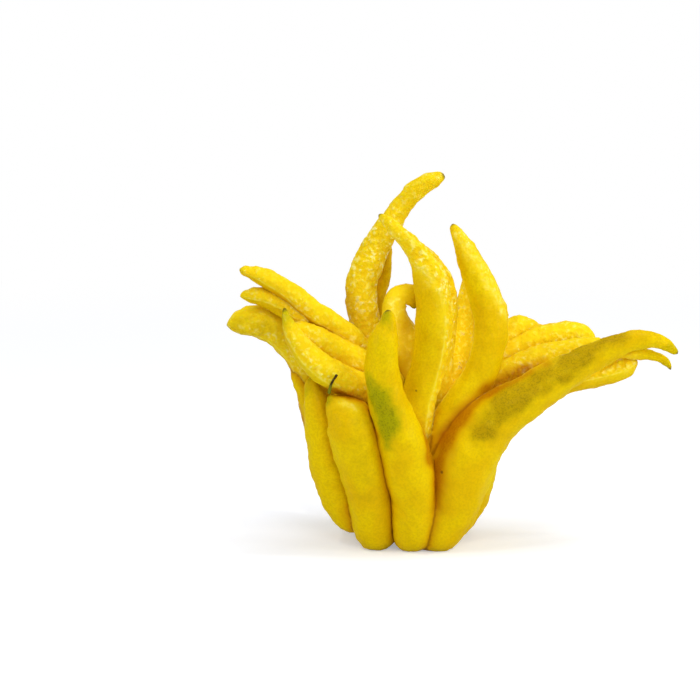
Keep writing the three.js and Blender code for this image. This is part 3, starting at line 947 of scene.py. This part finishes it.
PAINTED_LIGHT_STROKES = [
    # painted light on the deep inner side between the crown's fingers, the hook, and the upper
    # right fingers
    ((27, -9, 84), (30, -2, 103), 8, 1.0), ((30, -2, 103), (33, 0, 126), 8, 1.0),
    ((-2, -5, 104), (-2, -5, 128), 6, 0.8), ((6, -5, 104), (5, -6, 86), 5, 0.7),
    ((52, 12, 104), (66, 20, 111), 6, 0.2), ((60, 12, 103), (96, 18, 108), 6, 0.25),
    # the left crown finger, and the tip of the low right one
    ((-18, 4, 108), (-20, 5, 126), 7, 0.35), ((-19, 5, 128), (-6, 8, 158), 7, 0.25),
    ((88, -14, 88), (112, -12, 92), 5, 0.35),
]
print(len(LUMPY_STROKES), "lumpy strokes and", len(PAINTED_LIGHT_STROKES), "bright ones")

# %% [markdown]
# ### From strokes to marks
#
# Lumpy strokes are added to the marks that the fingers brought along. Each other kind gets a
# mark of its own, and so does the distance from a crease: a wide one for the painted orange shade
# beside it and a narrow one for the painted dark line in it.

# %% Write the marks
# widths of the painted orange shade beside a crease and of the painted dark line in it
CREASE_SHADE_WIDTH, CREASE_SHADE_LINE_WIDTH = 4.0 * MM, 0.8 * MM
SHARPEST_SMOOTH = math.radians(65)  # an edge that turns by more than this stays sharp

lumpy = sum_of_strokes(citron, LUMPY_STROKES)
for name in ("inner", "pebbled"):
    mark(citron, name, np.maximum(read_mark(citron, name), lumpy))
for name, strokes in (("blush", RUST_AND_FOLD_SHADE_STROKES), ("lit", PAINTED_LIGHT_STROKES), ("green", GREEN_STROKES),
                      ("dull", DULL_AND_SHADE_STROKES)):
    mark(citron, name, sum_of_strokes(citron, strokes))
for name, width in (("crease", CREASE_SHADE_WIDTH), ("line", CREASE_SHADE_LINE_WIDTH)):
    mark(citron, name, np.exp(-from_crease / width))
citron.data.attributes.remove(citron.data.attributes["skin"])
only(citron)
bpy.ops.object.shade_smooth_by_angle(angle=SHARPEST_SMOOTH)
greenish = (read_mark(citron, "green") > 0.4).mean()
print(f"{greenish:.1%} of the rind's vertices are greenish")

# %% [markdown]
# ## The calyx
#
# Under the fruit a five-lobed green calyx still clasps the end of the stalk. It is a flat disc
# whose rim is drawn into lobes, thinned towards the edge and rounded by subdivision. Drawing the
# lobes with a cosine of the angle keeps all five alike.

# %% Model the calyx
CALYX_RINGS = (0.3, 0.25, 0.2)  # widths of the rings that it is divided into, in radii
LOBES, NOTCH_RADIUS, LOBE_LENGTH = 5, 0.66, 0.3  # the last two in radii
RIM_THINNING = 0.45
CALYX_ROUGHNESS = {"size": 1.2 * MM, "height": -0.25 * MM, "middle": 0.2}


def calyx_piece():
    """A lobed disc in the place of its solid."""
    lowest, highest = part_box("calyx")
    centre, radius = (lowest + highest) / 2, (highest.x - lowest.x) / 2
    calyx = add_shape(bpy.ops.mesh.primitive_circle_add, vertices=80, radius=radius,
                      fill_type="NGON", location=(centre.x, centre.y, lowest.z))
    edit(calyx)
    for width in CALYX_RINGS:
        bpy.ops.mesh.inset(thickness=radius * width, use_boundary=True)
    bpy.ops.mesh.select_all(action="SELECT")
    thickness = highest.z - lowest.z
    bpy.ops.mesh.extrude_region_move(TRANSFORM_OT_translate={"value": (0, 0, thickness)})
    bpy.ops.object.mode_set(mode="OBJECT")
    weld(calyx)
    points = points_of(calyx)
    x, y = points[:, 0] - centre.x, points[:, 1] - centre.y
    angle, out = np.arctan2(y, x), np.hypot(x, y) / radius
    lobe = NOTCH_RADIUS + LOBE_LENGTH * np.sqrt(0.5 + 0.5 * np.cos(LOBES * angle))
    points[:, 0], points[:, 1] = centre.x + x * lobe, centre.y + y * lobe
    points[:, 2] = centre.z + (points[:, 2] - centre.z) * (1 - RIM_THINNING * out ** 2)
    put_points(calyx, points)
    modify(calyx, "SUBSURF", levels=2, render_levels=2)
    displace(calyx, "CLOUDS", **CALYX_ROUGHNESS)
    calyx.name = calyx.data.name = "calyx_lobes"
    return calyx


calyx = calyx_piece()
print("corners of the calyx in mm:", *box_in_mm(calyx))

# %% [markdown]
# ## The cut stalk
#
# Below the calyx stands the short end of the stalk, cut across. It is a cylinder whose two cut
# faces get rings of wood by insets of different depth. The bark is roughened at the end, after
# the edges are bevelled, because a knife never leaves them perfectly sharp.

# %% Model the cut stalk
STALK_FIT = 0.97  # a little slimmer than its solid, so that the roughened bark stays inside
WOOD_RING_WIDTH = 0.16  # in radii
WOOD_RING_DEPTHS = (0, -0.12 * MM, 0.1 * MM, -0.15 * MM)
CUT_EDGE = 0.15 * MM  # the bevel that takes the sharpness off
BARK_ROUGHNESS = {"size": 0.9 * MM, "height": -0.2 * MM, "middle": 0.2}


def stalk_piece():
    """A bevelled and roughened stub in the place of its solid."""
    lowest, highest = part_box("cut_stalk")
    radius = (highest.x - lowest.x) / 2
    stalk = add_shape(bpy.ops.mesh.primitive_cylinder_add, vertices=48, radius=radius * STALK_FIT,
                      depth=highest.z - lowest.z, location=(lowest + highest) / 2)
    edit(stalk, "DESELECT")
    bpy.ops.mesh.select_mode(type="FACE")
    work = bmesh.from_edit_mesh(stalk.data)
    for face in work.faces:
        face.select = abs(face.normal.z) > 0.9  # only the two cut faces look up or down
    bmesh.update_edit_mesh(stalk.data)
    for depth in WOOD_RING_DEPTHS:
        bpy.ops.mesh.inset(thickness=radius * WOOD_RING_WIDTH, depth=depth)
    bpy.ops.mesh.select_all(action="SELECT")
    bpy.ops.mesh.bevel(offset=CUT_EDGE, segments=2, affect="EDGES")
    bpy.ops.object.mode_set(mode="OBJECT")
    weld(stalk, 0.005 * MM)
    modify(stalk, "SUBSURF", subdivision_type="SIMPLE", levels=1, render_levels=1)
    displace(stalk, "CLOUDS", **BARK_ROUGHNESS)
    stalk.name = stalk.data.name = "stalk_stub"
    return stalk


stalk = stalk_piece()
print("corners of the cut stalk in mm:", *box_in_mm(stalk))

# %% [markdown]
# ## The dried style
#
# On one finger's tip stands the dried style of the flower, a thin bent twig that widens to its
# stigma. It is a tube along a route, like a finger, with finer facets.

# %% Model the dried style
STYLE_LINE = [(-35.2, -32.4, 82.2, 0.8), (-34.9, -34.4, 84.6, 0.8), (-34.3, -36.2, 87.2, 0.7),
              (-33, -37.4, 90, 0.62), (-31.8, -38.2, 91.9, 0.68), (-31.4, -38.4, 92.6, 0.72)]
STYLE_END = 0.15  # radius at both ends, in millimetres
TWIG_FACET = 0.25 * MM
TWIG_ROUGHNESS = {"size": 0.7 * MM, "height": -0.25 * MM, "middle": 0.3}
SHARPEST_TWIG = math.radians(40)


def style_piece():
    """A thin roughened tube with nearly pointed ends."""
    line = spline_through(STYLE_LINE, per_span=8)
    line[0, 3] = line[-1, 3] = STYLE_END
    centres = (line[:, :3] + np.array(PALM_AXIS)) * MM
    style = tube("style_twig", centres, line[:, 3] * MM, TWIG_FACET)
    displace(style, "CLOUDS", **TWIG_ROUGHNESS)
    return style


style = style_piece()
for piece in (calyx, stalk, style):
    only(piece)
    bpy.ops.object.shade_smooth_by_angle(angle=SHARPEST_TWIG)
    print(piece.name, "has", len(piece.data.polygons), "faces")

# %% [markdown]
# ## Shader sums as Python
#
# Materials mix many numbers. This small class wraps a socket, so that a sum or product written
# in Python adds the Math node for it, and one method adds any other node.

# %% A socket that can be reckoned with
class Wire:
    """One output in a material's node tree."""

    def __init__(self, tree, socket=None):
        self.tree, self.socket = tree, socket

    def add(self, kind, settings=None, inputs=None, output=0):
        """Adds a node: its settings are made first, then its inputs get values or wires."""
        node = self.tree.nodes.new(kind)
        for name, value in (settings or {}).items():
            setattr(node, name, value)
        for key, value in (inputs or {}).items():
            if isinstance(value, Wire):
                self.tree.links.new(value.socket, node.inputs[key])
            else:
                node.inputs[key].default_value = value
        return Wire(self.tree, node.outputs[output])

    def math(self, operation, *values):
        """A Math node of these values."""
        return self.add("ShaderNodeMath", {"operation": operation}, dict(enumerate(values)))

    def vector(self, operation, *others, output=0, **named):
        """A Vector Math node of this place or colour and others."""
        values = {**dict(enumerate((self, *others))), **named}
        return self.add("ShaderNodeVectorMath", {"operation": operation}, values, output)

    def __add__(self, other):
        return self.math("ADD", self, other)

    def __sub__(self, other):
        return self.math("SUBTRACT", self, other)

    def __rsub__(self, other):
        return self.math("SUBTRACT", other, self)

    def __mul__(self, other):
        return self.math("MULTIPLY", self, other)

    __radd__, __rmul__ = __add__, __mul__

    def step(self, low, high):
        """0 where this is below low, 1 above high, and an easy slope between."""
        return self.add("ShaderNodeMapRange", {"interpolation_type": "SMOOTHSTEP"},
                        {"Value": self, "From Min": low, "From Max": high})

    def mix(self, first, second):
        """The first colour where this is 0, the second where it is 1."""
        return self.add("ShaderNodeMix", {"data_type": "RGBA"}, {0: self, 6: first, 7: second},
                        output=2)

    def choose(self, first, second):
        """The first shader where this is 0, the second where it is 1."""
        return self.add("ShaderNodeMixShader", {}, {0: self, 1: first, 2: second})


def new_material(name):
    """A material with an empty tree, and a wire to start from."""
    material = bpy.data.materials.new(name)
    material.use_nodes = True
    material.node_tree.nodes.clear()
    return material, Wire(material.node_tree)


def surface(shader, ending="ShaderNodeOutputMaterial"):
    """Ends a tree with this shader as its surface."""
    output = shader.tree.nodes.new(ending)
    shader.tree.links.new(shader.socket, output.inputs["Surface"])


print("materials are written as sums from here on")

# %% [markdown]
# ## Patterns in space
#
# Clouds and cells are read at a place in the object's own space, so they stick to the fruit and
# have a size in millimetres. A pattern looks drawn by a machine until its place is shifted a
# little from spot to spot, so one of these makes such a shift.

# %% Patterns to mix from
def clouds(place, size, detail=2.0, roughness=0.5, output=0):
    """Clouds of this size."""
    return place.add("ShaderNodeTexNoise", {}, {"Vector": place, "Scale": 1 / size,
                                                "Detail": detail, "Roughness": roughness}, output)


def cells(place, size, feature="F1"):
    """Distance from the middle of the nearest cell of this size."""
    return place.add("ShaderNodeTexVoronoi", {"feature": feature},
                     {"Vector": place, "Scale": 1 / size}, "Distance")


def shifted(place, size, reach):
    """The place moved by up to half this reach, which changes over this size."""
    centred = clouds(place, size, 1.0, output="Color").vector("SUBTRACT", (0.5, 0.5, 0.5))
    return place.vector("ADD", centred.vector("SCALE", Scale=reach))


def vertex_mark(start, name):
    """A mark that was written on the vertices."""
    return start.add("ShaderNodeAttribute", {"attribute_name": name}, output="Fac")


def bump(height, distance, under=None):
    """The skin's direction after a height is laid over it, or over another bump."""
    laid_over = {"Normal": under} if under else {}
    return height.add("ShaderNodeBump", {}, {"Height": height, "Distance": distance, **laid_over})


print("patterns can be mixed")

# %% [markdown]
# ## The rind
#
# A ripe rind is a strong yellow that drifts between lemon and gold over a few centimetres. Close
# to, it is mottled at about a millimetre, because each oil gland under the skin shows as a
# darker dot with a shallow dimple over it. The inner sides are lumpy and waxy on the crests of
# the lumps; their colour gets painted shade, amber in the dips, and painted highlights, pale on
# the crests.

# %% Patterns of the rind
# several of these marks paint light and shade: the creases and the lines in them, the rusty folds,
# the bright hollows, and in part the dull patches
RIND_MARKS = ("inner", "pebbled", "tip", "crease", "line", "blush", "lit", "green", "dull")
DRIFT, PATCH = 22 * MM, 9 * MM  # sizes of the slow changes of colour and of waxiness
GLAND, GRAIN, SPECKLE = 1.15 * MM, 1.2 * MM, 0.9 * MM  # sizes of the dots and specks
LUMP, FLECK, DAB, WRINKLE = 2.6 * MM, 2.0 * MM, 2.4 * MM, 2.2 * MM  # sizes on the inner sides
WARP, WARP_REACH = 3 * MM, 1.2 * MM  # how the lumps are shifted out of their even pattern


def rind_patterns(start):
    """The marks and fine patterns that the rind's colour and relief are mixed from."""
    rind = SimpleNamespace(**{name: vertex_mark(start, name) for name in RIND_MARKS})
    rind.place = start.add("ShaderNodeTexCoord", output="Object")
    warped = shifted(rind.place, WARP, WARP_REACH)
    rind.gland = cells(rind.place, GLAND)
    rind.grain = clouds(rind.place, GRAIN, 3, 0.6)
    rind.speckle = clouds(rind.place, SPECKLE, 2, 0.7)
    rind.wrinkle = clouds(rind.place, WRINKLE, 3)
    lump = 1 - cells(warped, LUMP, "SMOOTH_F1").step(0.0, 0.75)
    fleck = 1 - cells(warped, FLECK).step(0.1, 0.6)
    rind.height = lump * 0.45 + rind.wrinkle * 0.75 + fleck * 0.12
    dab = clouds(warped, DAB, 3, 0.55).step(0.48, 0.59)
    patchy = 0.4 + clouds(rind.place, PATCH).step(0.38, 0.62) * 0.75
    rind.crest = rind.pebbled * dab * rind.height.step(0.42, 0.75) * patchy
    return rind


print("the rind reads", len(RIND_MARKS), "marks")

# %% [markdown]
# ### Its ripe colours, with painted light and shade
#
# The colour is built up in layers, as with thin paint: each line lays one colour over what is
# there, and says how much of it and where. A pair of numbers in a step is where the layer begins
# and where it is full, and the number after it is its strength.

# %% Lay the ripe colours
LEMON, GOLD, AMBER_DIP_SHADE = (0.84, 0.61, 0.0, 1), (0.79, 0.51, 0.0, 1), (0.82, 0.46, 0.0, 1)
HIGHLIGHT_PALE, PAINTED_LIGHT_YELLOW, MOTTLE = (0.98, 0.86, 0.18, 1), (0.98, 0.78, 0.015, 1), (0.58, 0.36, 0.0, 1)
CREASE_SHADE_ORANGE, FOLD_SHADE_BROWN = (0.62, 0.27, 0.0, 1), (0.20, 0.06, 0.0, 1)


def ripe_and_painted_light(rind):
    """Mottled yellow, then painted light and shade: lighter inner sides and hollows, amber shade in
    the dips, and a highlight band along the ridges.
    """
    inner, lit = rind.inner, rind.lit
    colour = clouds(rind.place, DRIFT).step(0.35, 0.65).mix(LEMON, GOLD)
    colour = (rind.grain.step(0.62, 0.35) * 0.35).mix(colour, MOTTLE)
    colour = ((1 - rind.gland.step(0.05, 0.4)) * 0.12).mix(colour, MOTTLE)
    # painted light: the inner sides are made lighter, as if more light reached them
    colour = (inner * 0.5).mix(colour, PAINTED_LIGHT_YELLOW)
    # painted shade: amber in the dips between the lumps
    dip_shade = (inner * 0.15 + rind.pebbled * 0.35) * (1 - lit * 0.6)
    colour = (dip_shade * (1 - rind.height.step(0.45, 0.75))).mix(colour, AMBER_DIP_SHADE)
    # painted light: the bright hollows are made lighter
    colour = (lit * 0.4).mix(colour, PAINTED_LIGHT_YELLOW)
    # painted highlight: a bright band along the ridges at the edge of each inner side
    return (inner * (1 - inner) * 1.6).mix(colour, PAINTED_LIGHT_YELLOW)


def painted_shade_and_highlights(rind, colour):
    """Painted shade: orange beside the creases and a brown line in them; painted highlights: pale
    ridge lines and crests.
    """
    inner = rind.inner
    # painted shade: orange beside the creases, where the fingers shade each other
    painted_crease_shade = rind.crease.step(0.1, 1.0) * (0.8 - inner * 0.45) * (1 - rind.lit * 0.7)
    colour = painted_crease_shade.mix(colour, CREASE_SHADE_ORANGE)
    # painted shade: a thin dark brown line deep in each crease
    painted_crease_line = rind.line.step(0.2, 0.9) * (1 - inner * 0.85 + rind.blush * 0.6) * 0.5
    colour = painted_crease_line.mix(colour, FOLD_SHADE_BROWN)
    # painted highlight: pale lines along the ridges
    ridge = (inner * (1 - inner) * 4).step(0.75, 1.0) * (1 - rind.pebbled)
    colour = (ridge * rind.wrinkle.step(0.35, 0.6) * 0.35).mix(colour, HIGHLIGHT_PALE)
    # painted highlights: pale crests on the lumps
    return (rind.crest * 0.95).mix(colour, HIGHLIGHT_PALE)


print("ripe colours are laid first")

# %% [markdown]
# ### Its patches and scars
#
# The dull patches, the rusty folds and the green patches aren't painted flat; the dull patches
# and the rusty folds are partly painted shade. Clouds fray their edges, and fine dark specks are
# denser towards their middles. Tips are scarred brown, and a few small round scars are left
# where something rubbed.

# %% Lay the patches and scars
RUST_AND_SHADE, OLIVE, DARK_OLIVE = (0.55, 0.17, 0.0, 1), (0.34, 0.33, 0.0, 1), (0.15, 0.15, 0.0, 1)
DULL_AND_SHADE, DARK_DULL, SCAR = (0.43, 0.27, 0.0, 1), (0.16, 0.12, 0.0, 1), (0.07, 0.04, 0.01, 1)
BLEMISHES = [(3.5, -22, 91, 0.7), (7.5, -26.4, 82.4, 0.6), (20, -33.9, 43, 0.9),
             (111, -14, 110, 0.9)]  # place and radius in millimetres
DULL_CLOUD, GREEN_CLOUD = 7 * MM, 4 * MM  # sizes of the clouds that fray their edges


def frayed(amount, pattern, strength):
    """Breaks the soft edge of a mark by a pattern."""
    return (amount + (pattern - 0.5) * strength).step(0.05, 1.1)


def patch_colour(rind, colour):
    """The dull colour and the rust, both partly painted shade, and the green, each with its specks.
    """
    dull = frayed(rind.dull, clouds(rind.place, DULL_CLOUD, 5, 0.65), 1.1)
    olive = frayed(rind.green, clouds(rind.place, GREEN_CLOUD, 4), 0.8)
    # dull brownish yellow, partly painted shade
    colour = (dull * 0.85).mix(colour, DULL_AND_SHADE)
    colour = (dull * dull * rind.speckle.step(0.46, 0.64) * 0.45).mix(colour, DARK_DULL)
    # rust in the deepest folds, partly painted shade, with a darker brown in them
    colour = (rind.blush * (0.4 + rind.grain) * 0.85).mix(colour, RUST_AND_SHADE)
    colour = (rind.blush * rind.blush * rind.grain * 0.45).mix(colour, FOLD_SHADE_BROWN)
    colour = (olive * 0.85).mix(colour, OLIVE)
    return (olive * olive * rind.speckle.step(0.46, 0.66) * 0.6).mix(colour, DARK_OLIVE)


def scar_colour(rind, colour):
    """Scars on the tips, and the round blemishes."""
    colour = (rind.tip.step(0.8, 1.0) * 0.75).mix(colour, SCAR)
    for x, y, z, radius in BLEMISHES:
        spot = tuple((Vector((x, y, z)) + PALM_AXIS) * MM)
        away = rind.place.vector("DISTANCE", spot, output="Value")
        faded = away.step(radius * 0.5 * MM, radius * 1.3 * MM)
        colour = ((1 - faded) * 0.7).mix(colour, SCAR)
    return colour


print("patches and", len(BLEMISHES), "blemishes are laid over them")

# %% [markdown]
# ### Its relief and gloss
#
# The glands' dimples and the lumps are bumps, one laid over the other. The rind itself is nearly
# matt and lets light in a few millimetres deep. Only the crests of the lumps are waxy, so a
# second, glossy shader is mixed in there. The inner sides and the bright hollows get painted
# light: a faint glow of bright yellow, stronger on the crests of the lumps.

# %% Mix the rind
PIT_DEPTH, GRAIN_HEIGHT = -0.06, 0.05  # in millimetres, as the bumps below are


def rind_material():
    """The whole finish of the fruit."""
    material, start = new_material("citron_rind")
    rind = rind_patterns(start)
    colour = painted_shade_and_highlights(rind, ripe_and_painted_light(rind))
    colour = scar_colour(rind, patch_colour(rind, colour))
    pits = (1 - rind.gland.step(0.05, 0.45)) * PIT_DEPTH
    fine = bump(pits + rind.grain * GRAIN_HEIGHT, MM)
    normal = bump(rind.height * (rind.inner * 0.5 + rind.pebbled * 0.8), MM, under=fine)
    # painted light: an emission of bright yellow on the inner sides and in the bright hollows
    painted_glow = (rind.inner * 0.03 + rind.lit * (0.22 + rind.crest * 0.9)).mix((0, 0, 0, 1), PAINTED_LIGHT_YELLOW)
    matt = start.add("ShaderNodeBsdfPrincipled", {}, {
        "Base Color": colour, "Roughness": 0.6, "Specular IOR Level": 0.03, "Normal": normal,
        "Subsurface Weight": 0.2, "Subsurface Scale": 3 * MM, "Subsurface Radius": (1.0, 0.6, 0.05),
        "Emission Color": painted_glow, "Emission Strength": 1.0}, output="BSDF")
    waxy = start.add("ShaderNodeBsdfPrincipled", {}, {
        "Base Color": colour, "Roughness": 0.2, "Specular IOR Level": 0.75, "Normal": normal},
        output="BSDF")
    shine = rind.crest + (1 - rind.inner) * 0.02
    surface(shine.choose(matt, waxy))
    material.cycles.emission_sampling = "NONE"
    return material


rind_finish = rind_material()
print("the rind has", len(rind_finish.node_tree.nodes), "nodes")

# %% [markdown]
# ## Green and dry finishes
#
# The calyx is a dull green with darker veins, the stalk's cut face is pale wood with rings, and
# the style is dried almost black, greener at its foot. All three are one recipe with different
# colours and grain, so it is written once.

# %% Mix the small finishes
RING_SPACING = 7 * MM
GREEN_FOOT = (85 * MM, 88.5 * MM)  # between these heights the style turns from green to brown


def wood_rings(place):
    """Rings round the middle of the stalk."""
    lowest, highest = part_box("cut_stalk")
    middle = (lowest + highest) / 2
    centred = place.add("ShaderNodeMapping", {"vector_type": "POINT"},
                        {"Vector": place, "Location": (-middle.x, -middle.y, 0)})
    return place.add("ShaderNodeTexWave", {"wave_type": "RINGS", "rings_direction": "Z"},
                     {"Vector": centred, "Scale": 1 / RING_SPACING, "Distortion": 1.5}, "Fac")


def dull_material(name, dark, light, grain_size, rings=False, foot=None, gloss=0.25):
    """A dry finish of two colours in streaks or rings, with a third colour at the foot."""
    material, start = new_material(name)
    place = start.add("ShaderNodeTexCoord", output="Object")
    grain = clouds(place, grain_size, 4, 0.65)
    pattern = grain.step(0.35, 0.65)
    if rings:
        pattern = wood_rings(place).step(0.2, 0.8) * 0.6 + pattern * 0.4
    colour = pattern.mix(dark, light)
    if foot:
        height = start.add("ShaderNodeSeparateXYZ", {}, {"Vector": place}, output="Z")
        colour = height.step(*GREEN_FOOT).mix(foot, colour)
    surface(start.add("ShaderNodeBsdfPrincipled", {}, {
        "Base Color": colour, "Roughness": 0.68 + grain * 0.15, "Specular IOR Level": gloss,
        "Normal": bump(grain, 0.2 * MM)}, output="BSDF"))
    return material


calyx_green = dull_material("calyx_green", dark=(0.05, 0.08, 0.01, 1),
                            light=(0.17, 0.22, 0.03, 1), grain_size=1.2 * MM)
cut_wood = dull_material("cut_wood", dark=(0.16, 0.11, 0.04, 1), light=(0.42, 0.34, 0.16, 1),
                         grain_size=0.8 * MM, rings=True)
dry_twig = dull_material("dry_twig", dark=(0.035, 0.02, 0.006, 1), light=(0.11, 0.07, 0.015, 1),
                         grain_size=0.9 * MM, foot=(0.20, 0.22, 0.01, 1), gloss=0.03)
print("three small finishes are mixed")

# %% [markdown]
# ## Finishes onto pieces
#
# Each piece gets its material, the solid that it stands for is hidden, and it rides on the
# part's only body. The table also names a slot of the record for each piece, which nothing here
# reads.

# %% Give every piece its finish
FINISHES = {
    citron: (rind_finish, "rind", "fruit"),
    calyx: (calyx_green, "calyx", "calyx"),
    stalk: (cut_wood, "stalk_wood", "cut_stalk"),
    style: (dry_twig, "dry_style", "dried_style"),
}
for piece, (material, slot, node) in FINISHES.items():
    piece.data.materials.clear()
    piece.data.materials.append(material)
    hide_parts(node)
    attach(piece, "root")
print("finished pieces:", ", ".join(piece.name for piece in FINISHES))

# %% [markdown]
# ## The camera
#
# A long lens from well back keeps the fingers' proportions, because near things then look
# hardly larger than far ones. It looks down a little, so that the floor shows.

# %% Set the camera
scene = bpy.context.scene
scene.view_settings.view_transform = "Standard"
LOOK_AT = Vector((-51, -13.7, 98.1)) * MM
CAMERA_DISTANCE, CAMERA_TILT = 1.5, math.radians(10)
VIEW_WIDTH = 0.35  # metres across the view at the fruit

camera = bpy.data.objects.new("camera", bpy.data.cameras.new("camera"))
scene.collection.objects.link(camera)
backwards = Vector((0, -math.cos(CAMERA_TILT), math.sin(CAMERA_TILT)))
camera.location = LOOK_AT + CAMERA_DISTANCE * backwards
camera.rotation_euler = (math.pi / 2 - CAMERA_TILT, 0, 0)
camera.data.sensor_width = 36  # millimetres, like the lens
camera.data.lens = camera.data.sensor_width * CAMERA_DISTANCE / VIEW_WIDTH
scene.camera = camera
print("lens", round(camera.data.lens, 1), "mm")

# %% [markdown]
# ## The floor
#
# The fruit stands on a pale, slightly bluish floor that lights it from below. Far from the fruit
# the camera and reflections see plain white instead. Near it the camera sees the real floor,
# lifted towards white, so that the fruit's shadow shows softly.

# %% Lay the floor
FLOOR_REACH = 40
FLOOR_COLOUR, WHITE = (0.77, 0.80, 0.88, 1), (1, 1, 1, 1)
SHADOW_LIFT = 0.36  # how far the camera sees the floor lifted towards white, shadow and all
SHADOW_FADE = (0.25, 0.9)  # metres from the fruit between which the floor goes all white


def seen_or_mirrored(start):
    """1 on rays from the camera, in a mirror or through glass, 0 on rays that light things."""
    seen, mirrored, through = (start.add("ShaderNodeLightPath", output=f"Is {kind} Ray")
                               for kind in ("Camera", "Glossy", "Transmission"))
    return start.math("MAXIMUM", seen, start.math("MAXIMUM", mirrored, through))


floor = add_shape(bpy.ops.mesh.primitive_plane_add, size=FLOOR_REACH, location=(0, 0, 0))
floor.name = "floor"
floor_finish, wire = new_material("pale_floor")
plain = wire.add("ShaderNodeBsdfDiffuse", {}, {"Color": FLOOR_COLOUR}, output="BSDF")
white, lift = (wire.add("ShaderNodeEmission", {}, {"Color": WHITE, "Strength": strength},
                        output="Emission") for strength in (1.0, SHADOW_LIFT))
shaded = wire.add("ShaderNodeAddShader", {}, {0: plain, 1: lift})
away = wire.add("ShaderNodeTexCoord", output="Object").vector("LENGTH", output="Value")
pale = away.step(*SHADOW_FADE).choose(shaded, white)
surface(seen_or_mirrored(wire).choose(plain, pale))
floor.data.materials.append(floor_finish)
print("floor", FLOOR_REACH, "m across")

# %% [markdown]
# ## The room
#
# The world round the fruit is white to the camera and in reflections, but as a light it is
# weaker: light from everywhere at full strength would leave no shade between the fingers.

# %% Light the world
ROOM_STRENGTH = 0.45

world = bpy.data.worlds.new("soft_room")
scene.world = world
world.use_nodes = True
world.node_tree.nodes.clear()
wire = Wire(world.node_tree)
room, white = (wire.add("ShaderNodeBackground", {}, {"Color": WHITE, "Strength": strength},
                        output="Background") for strength in (ROOM_STRENGTH, 1.0))
surface(seen_or_mirrored(wire).choose(room, white), "ShaderNodeOutputWorld")
print("the room lights the fruit at a strength of", ROOM_STRENGTH)

# %% [markdown]
# ## Six lamps
#
# Wide softboxes above, in front and to both sides light the fruit softly, and more strongly from
# the right. Two small lamps high up on either side give the wet-looking glints on the waxy
# crests, because a small lamp makes a small, sharp reflection.

# %% Hang the lamps
LAMPS = {  # where each hangs, how wide it is, and its watts
    "softbox_above": ((0.15, 0.05, 1.3), 0.6, 4.3),
    "softbox_front": ((0.2, -1.35, 0.75), 0.55, 4.1),
    "softbox_left": ((-1.15, -0.55, 0.45), 0.5, 2.6),
    "softbox_right": ((1.15, -0.55, 0.45), 0.5, 4.8),
    "glint_left": ((-0.55, -0.6, 1.2), 0.1, 1.6),
    "glint_right": ((0.8, -0.3, 1.2), 0.1, 2.2),
}
for name, (place, size, watts) in LAMPS.items():
    light = bpy.data.lights.new(name, "AREA")
    light.size, light.energy = size, watts
    holder = bpy.data.objects.new(name, light)
    scene.collection.objects.link(holder)
    holder.location = place
    holder.rotation_euler = (LOOK_AT - Vector(place)).to_track_quat("-Z", "Y").to_euler()
print(len(LAMPS), "lamps")

# %% [markdown]
# ## Finish
#
# The fruit, its small pieces, the floor, the room and the lamps are all in place.

# %% Finish
print("the scene is set")
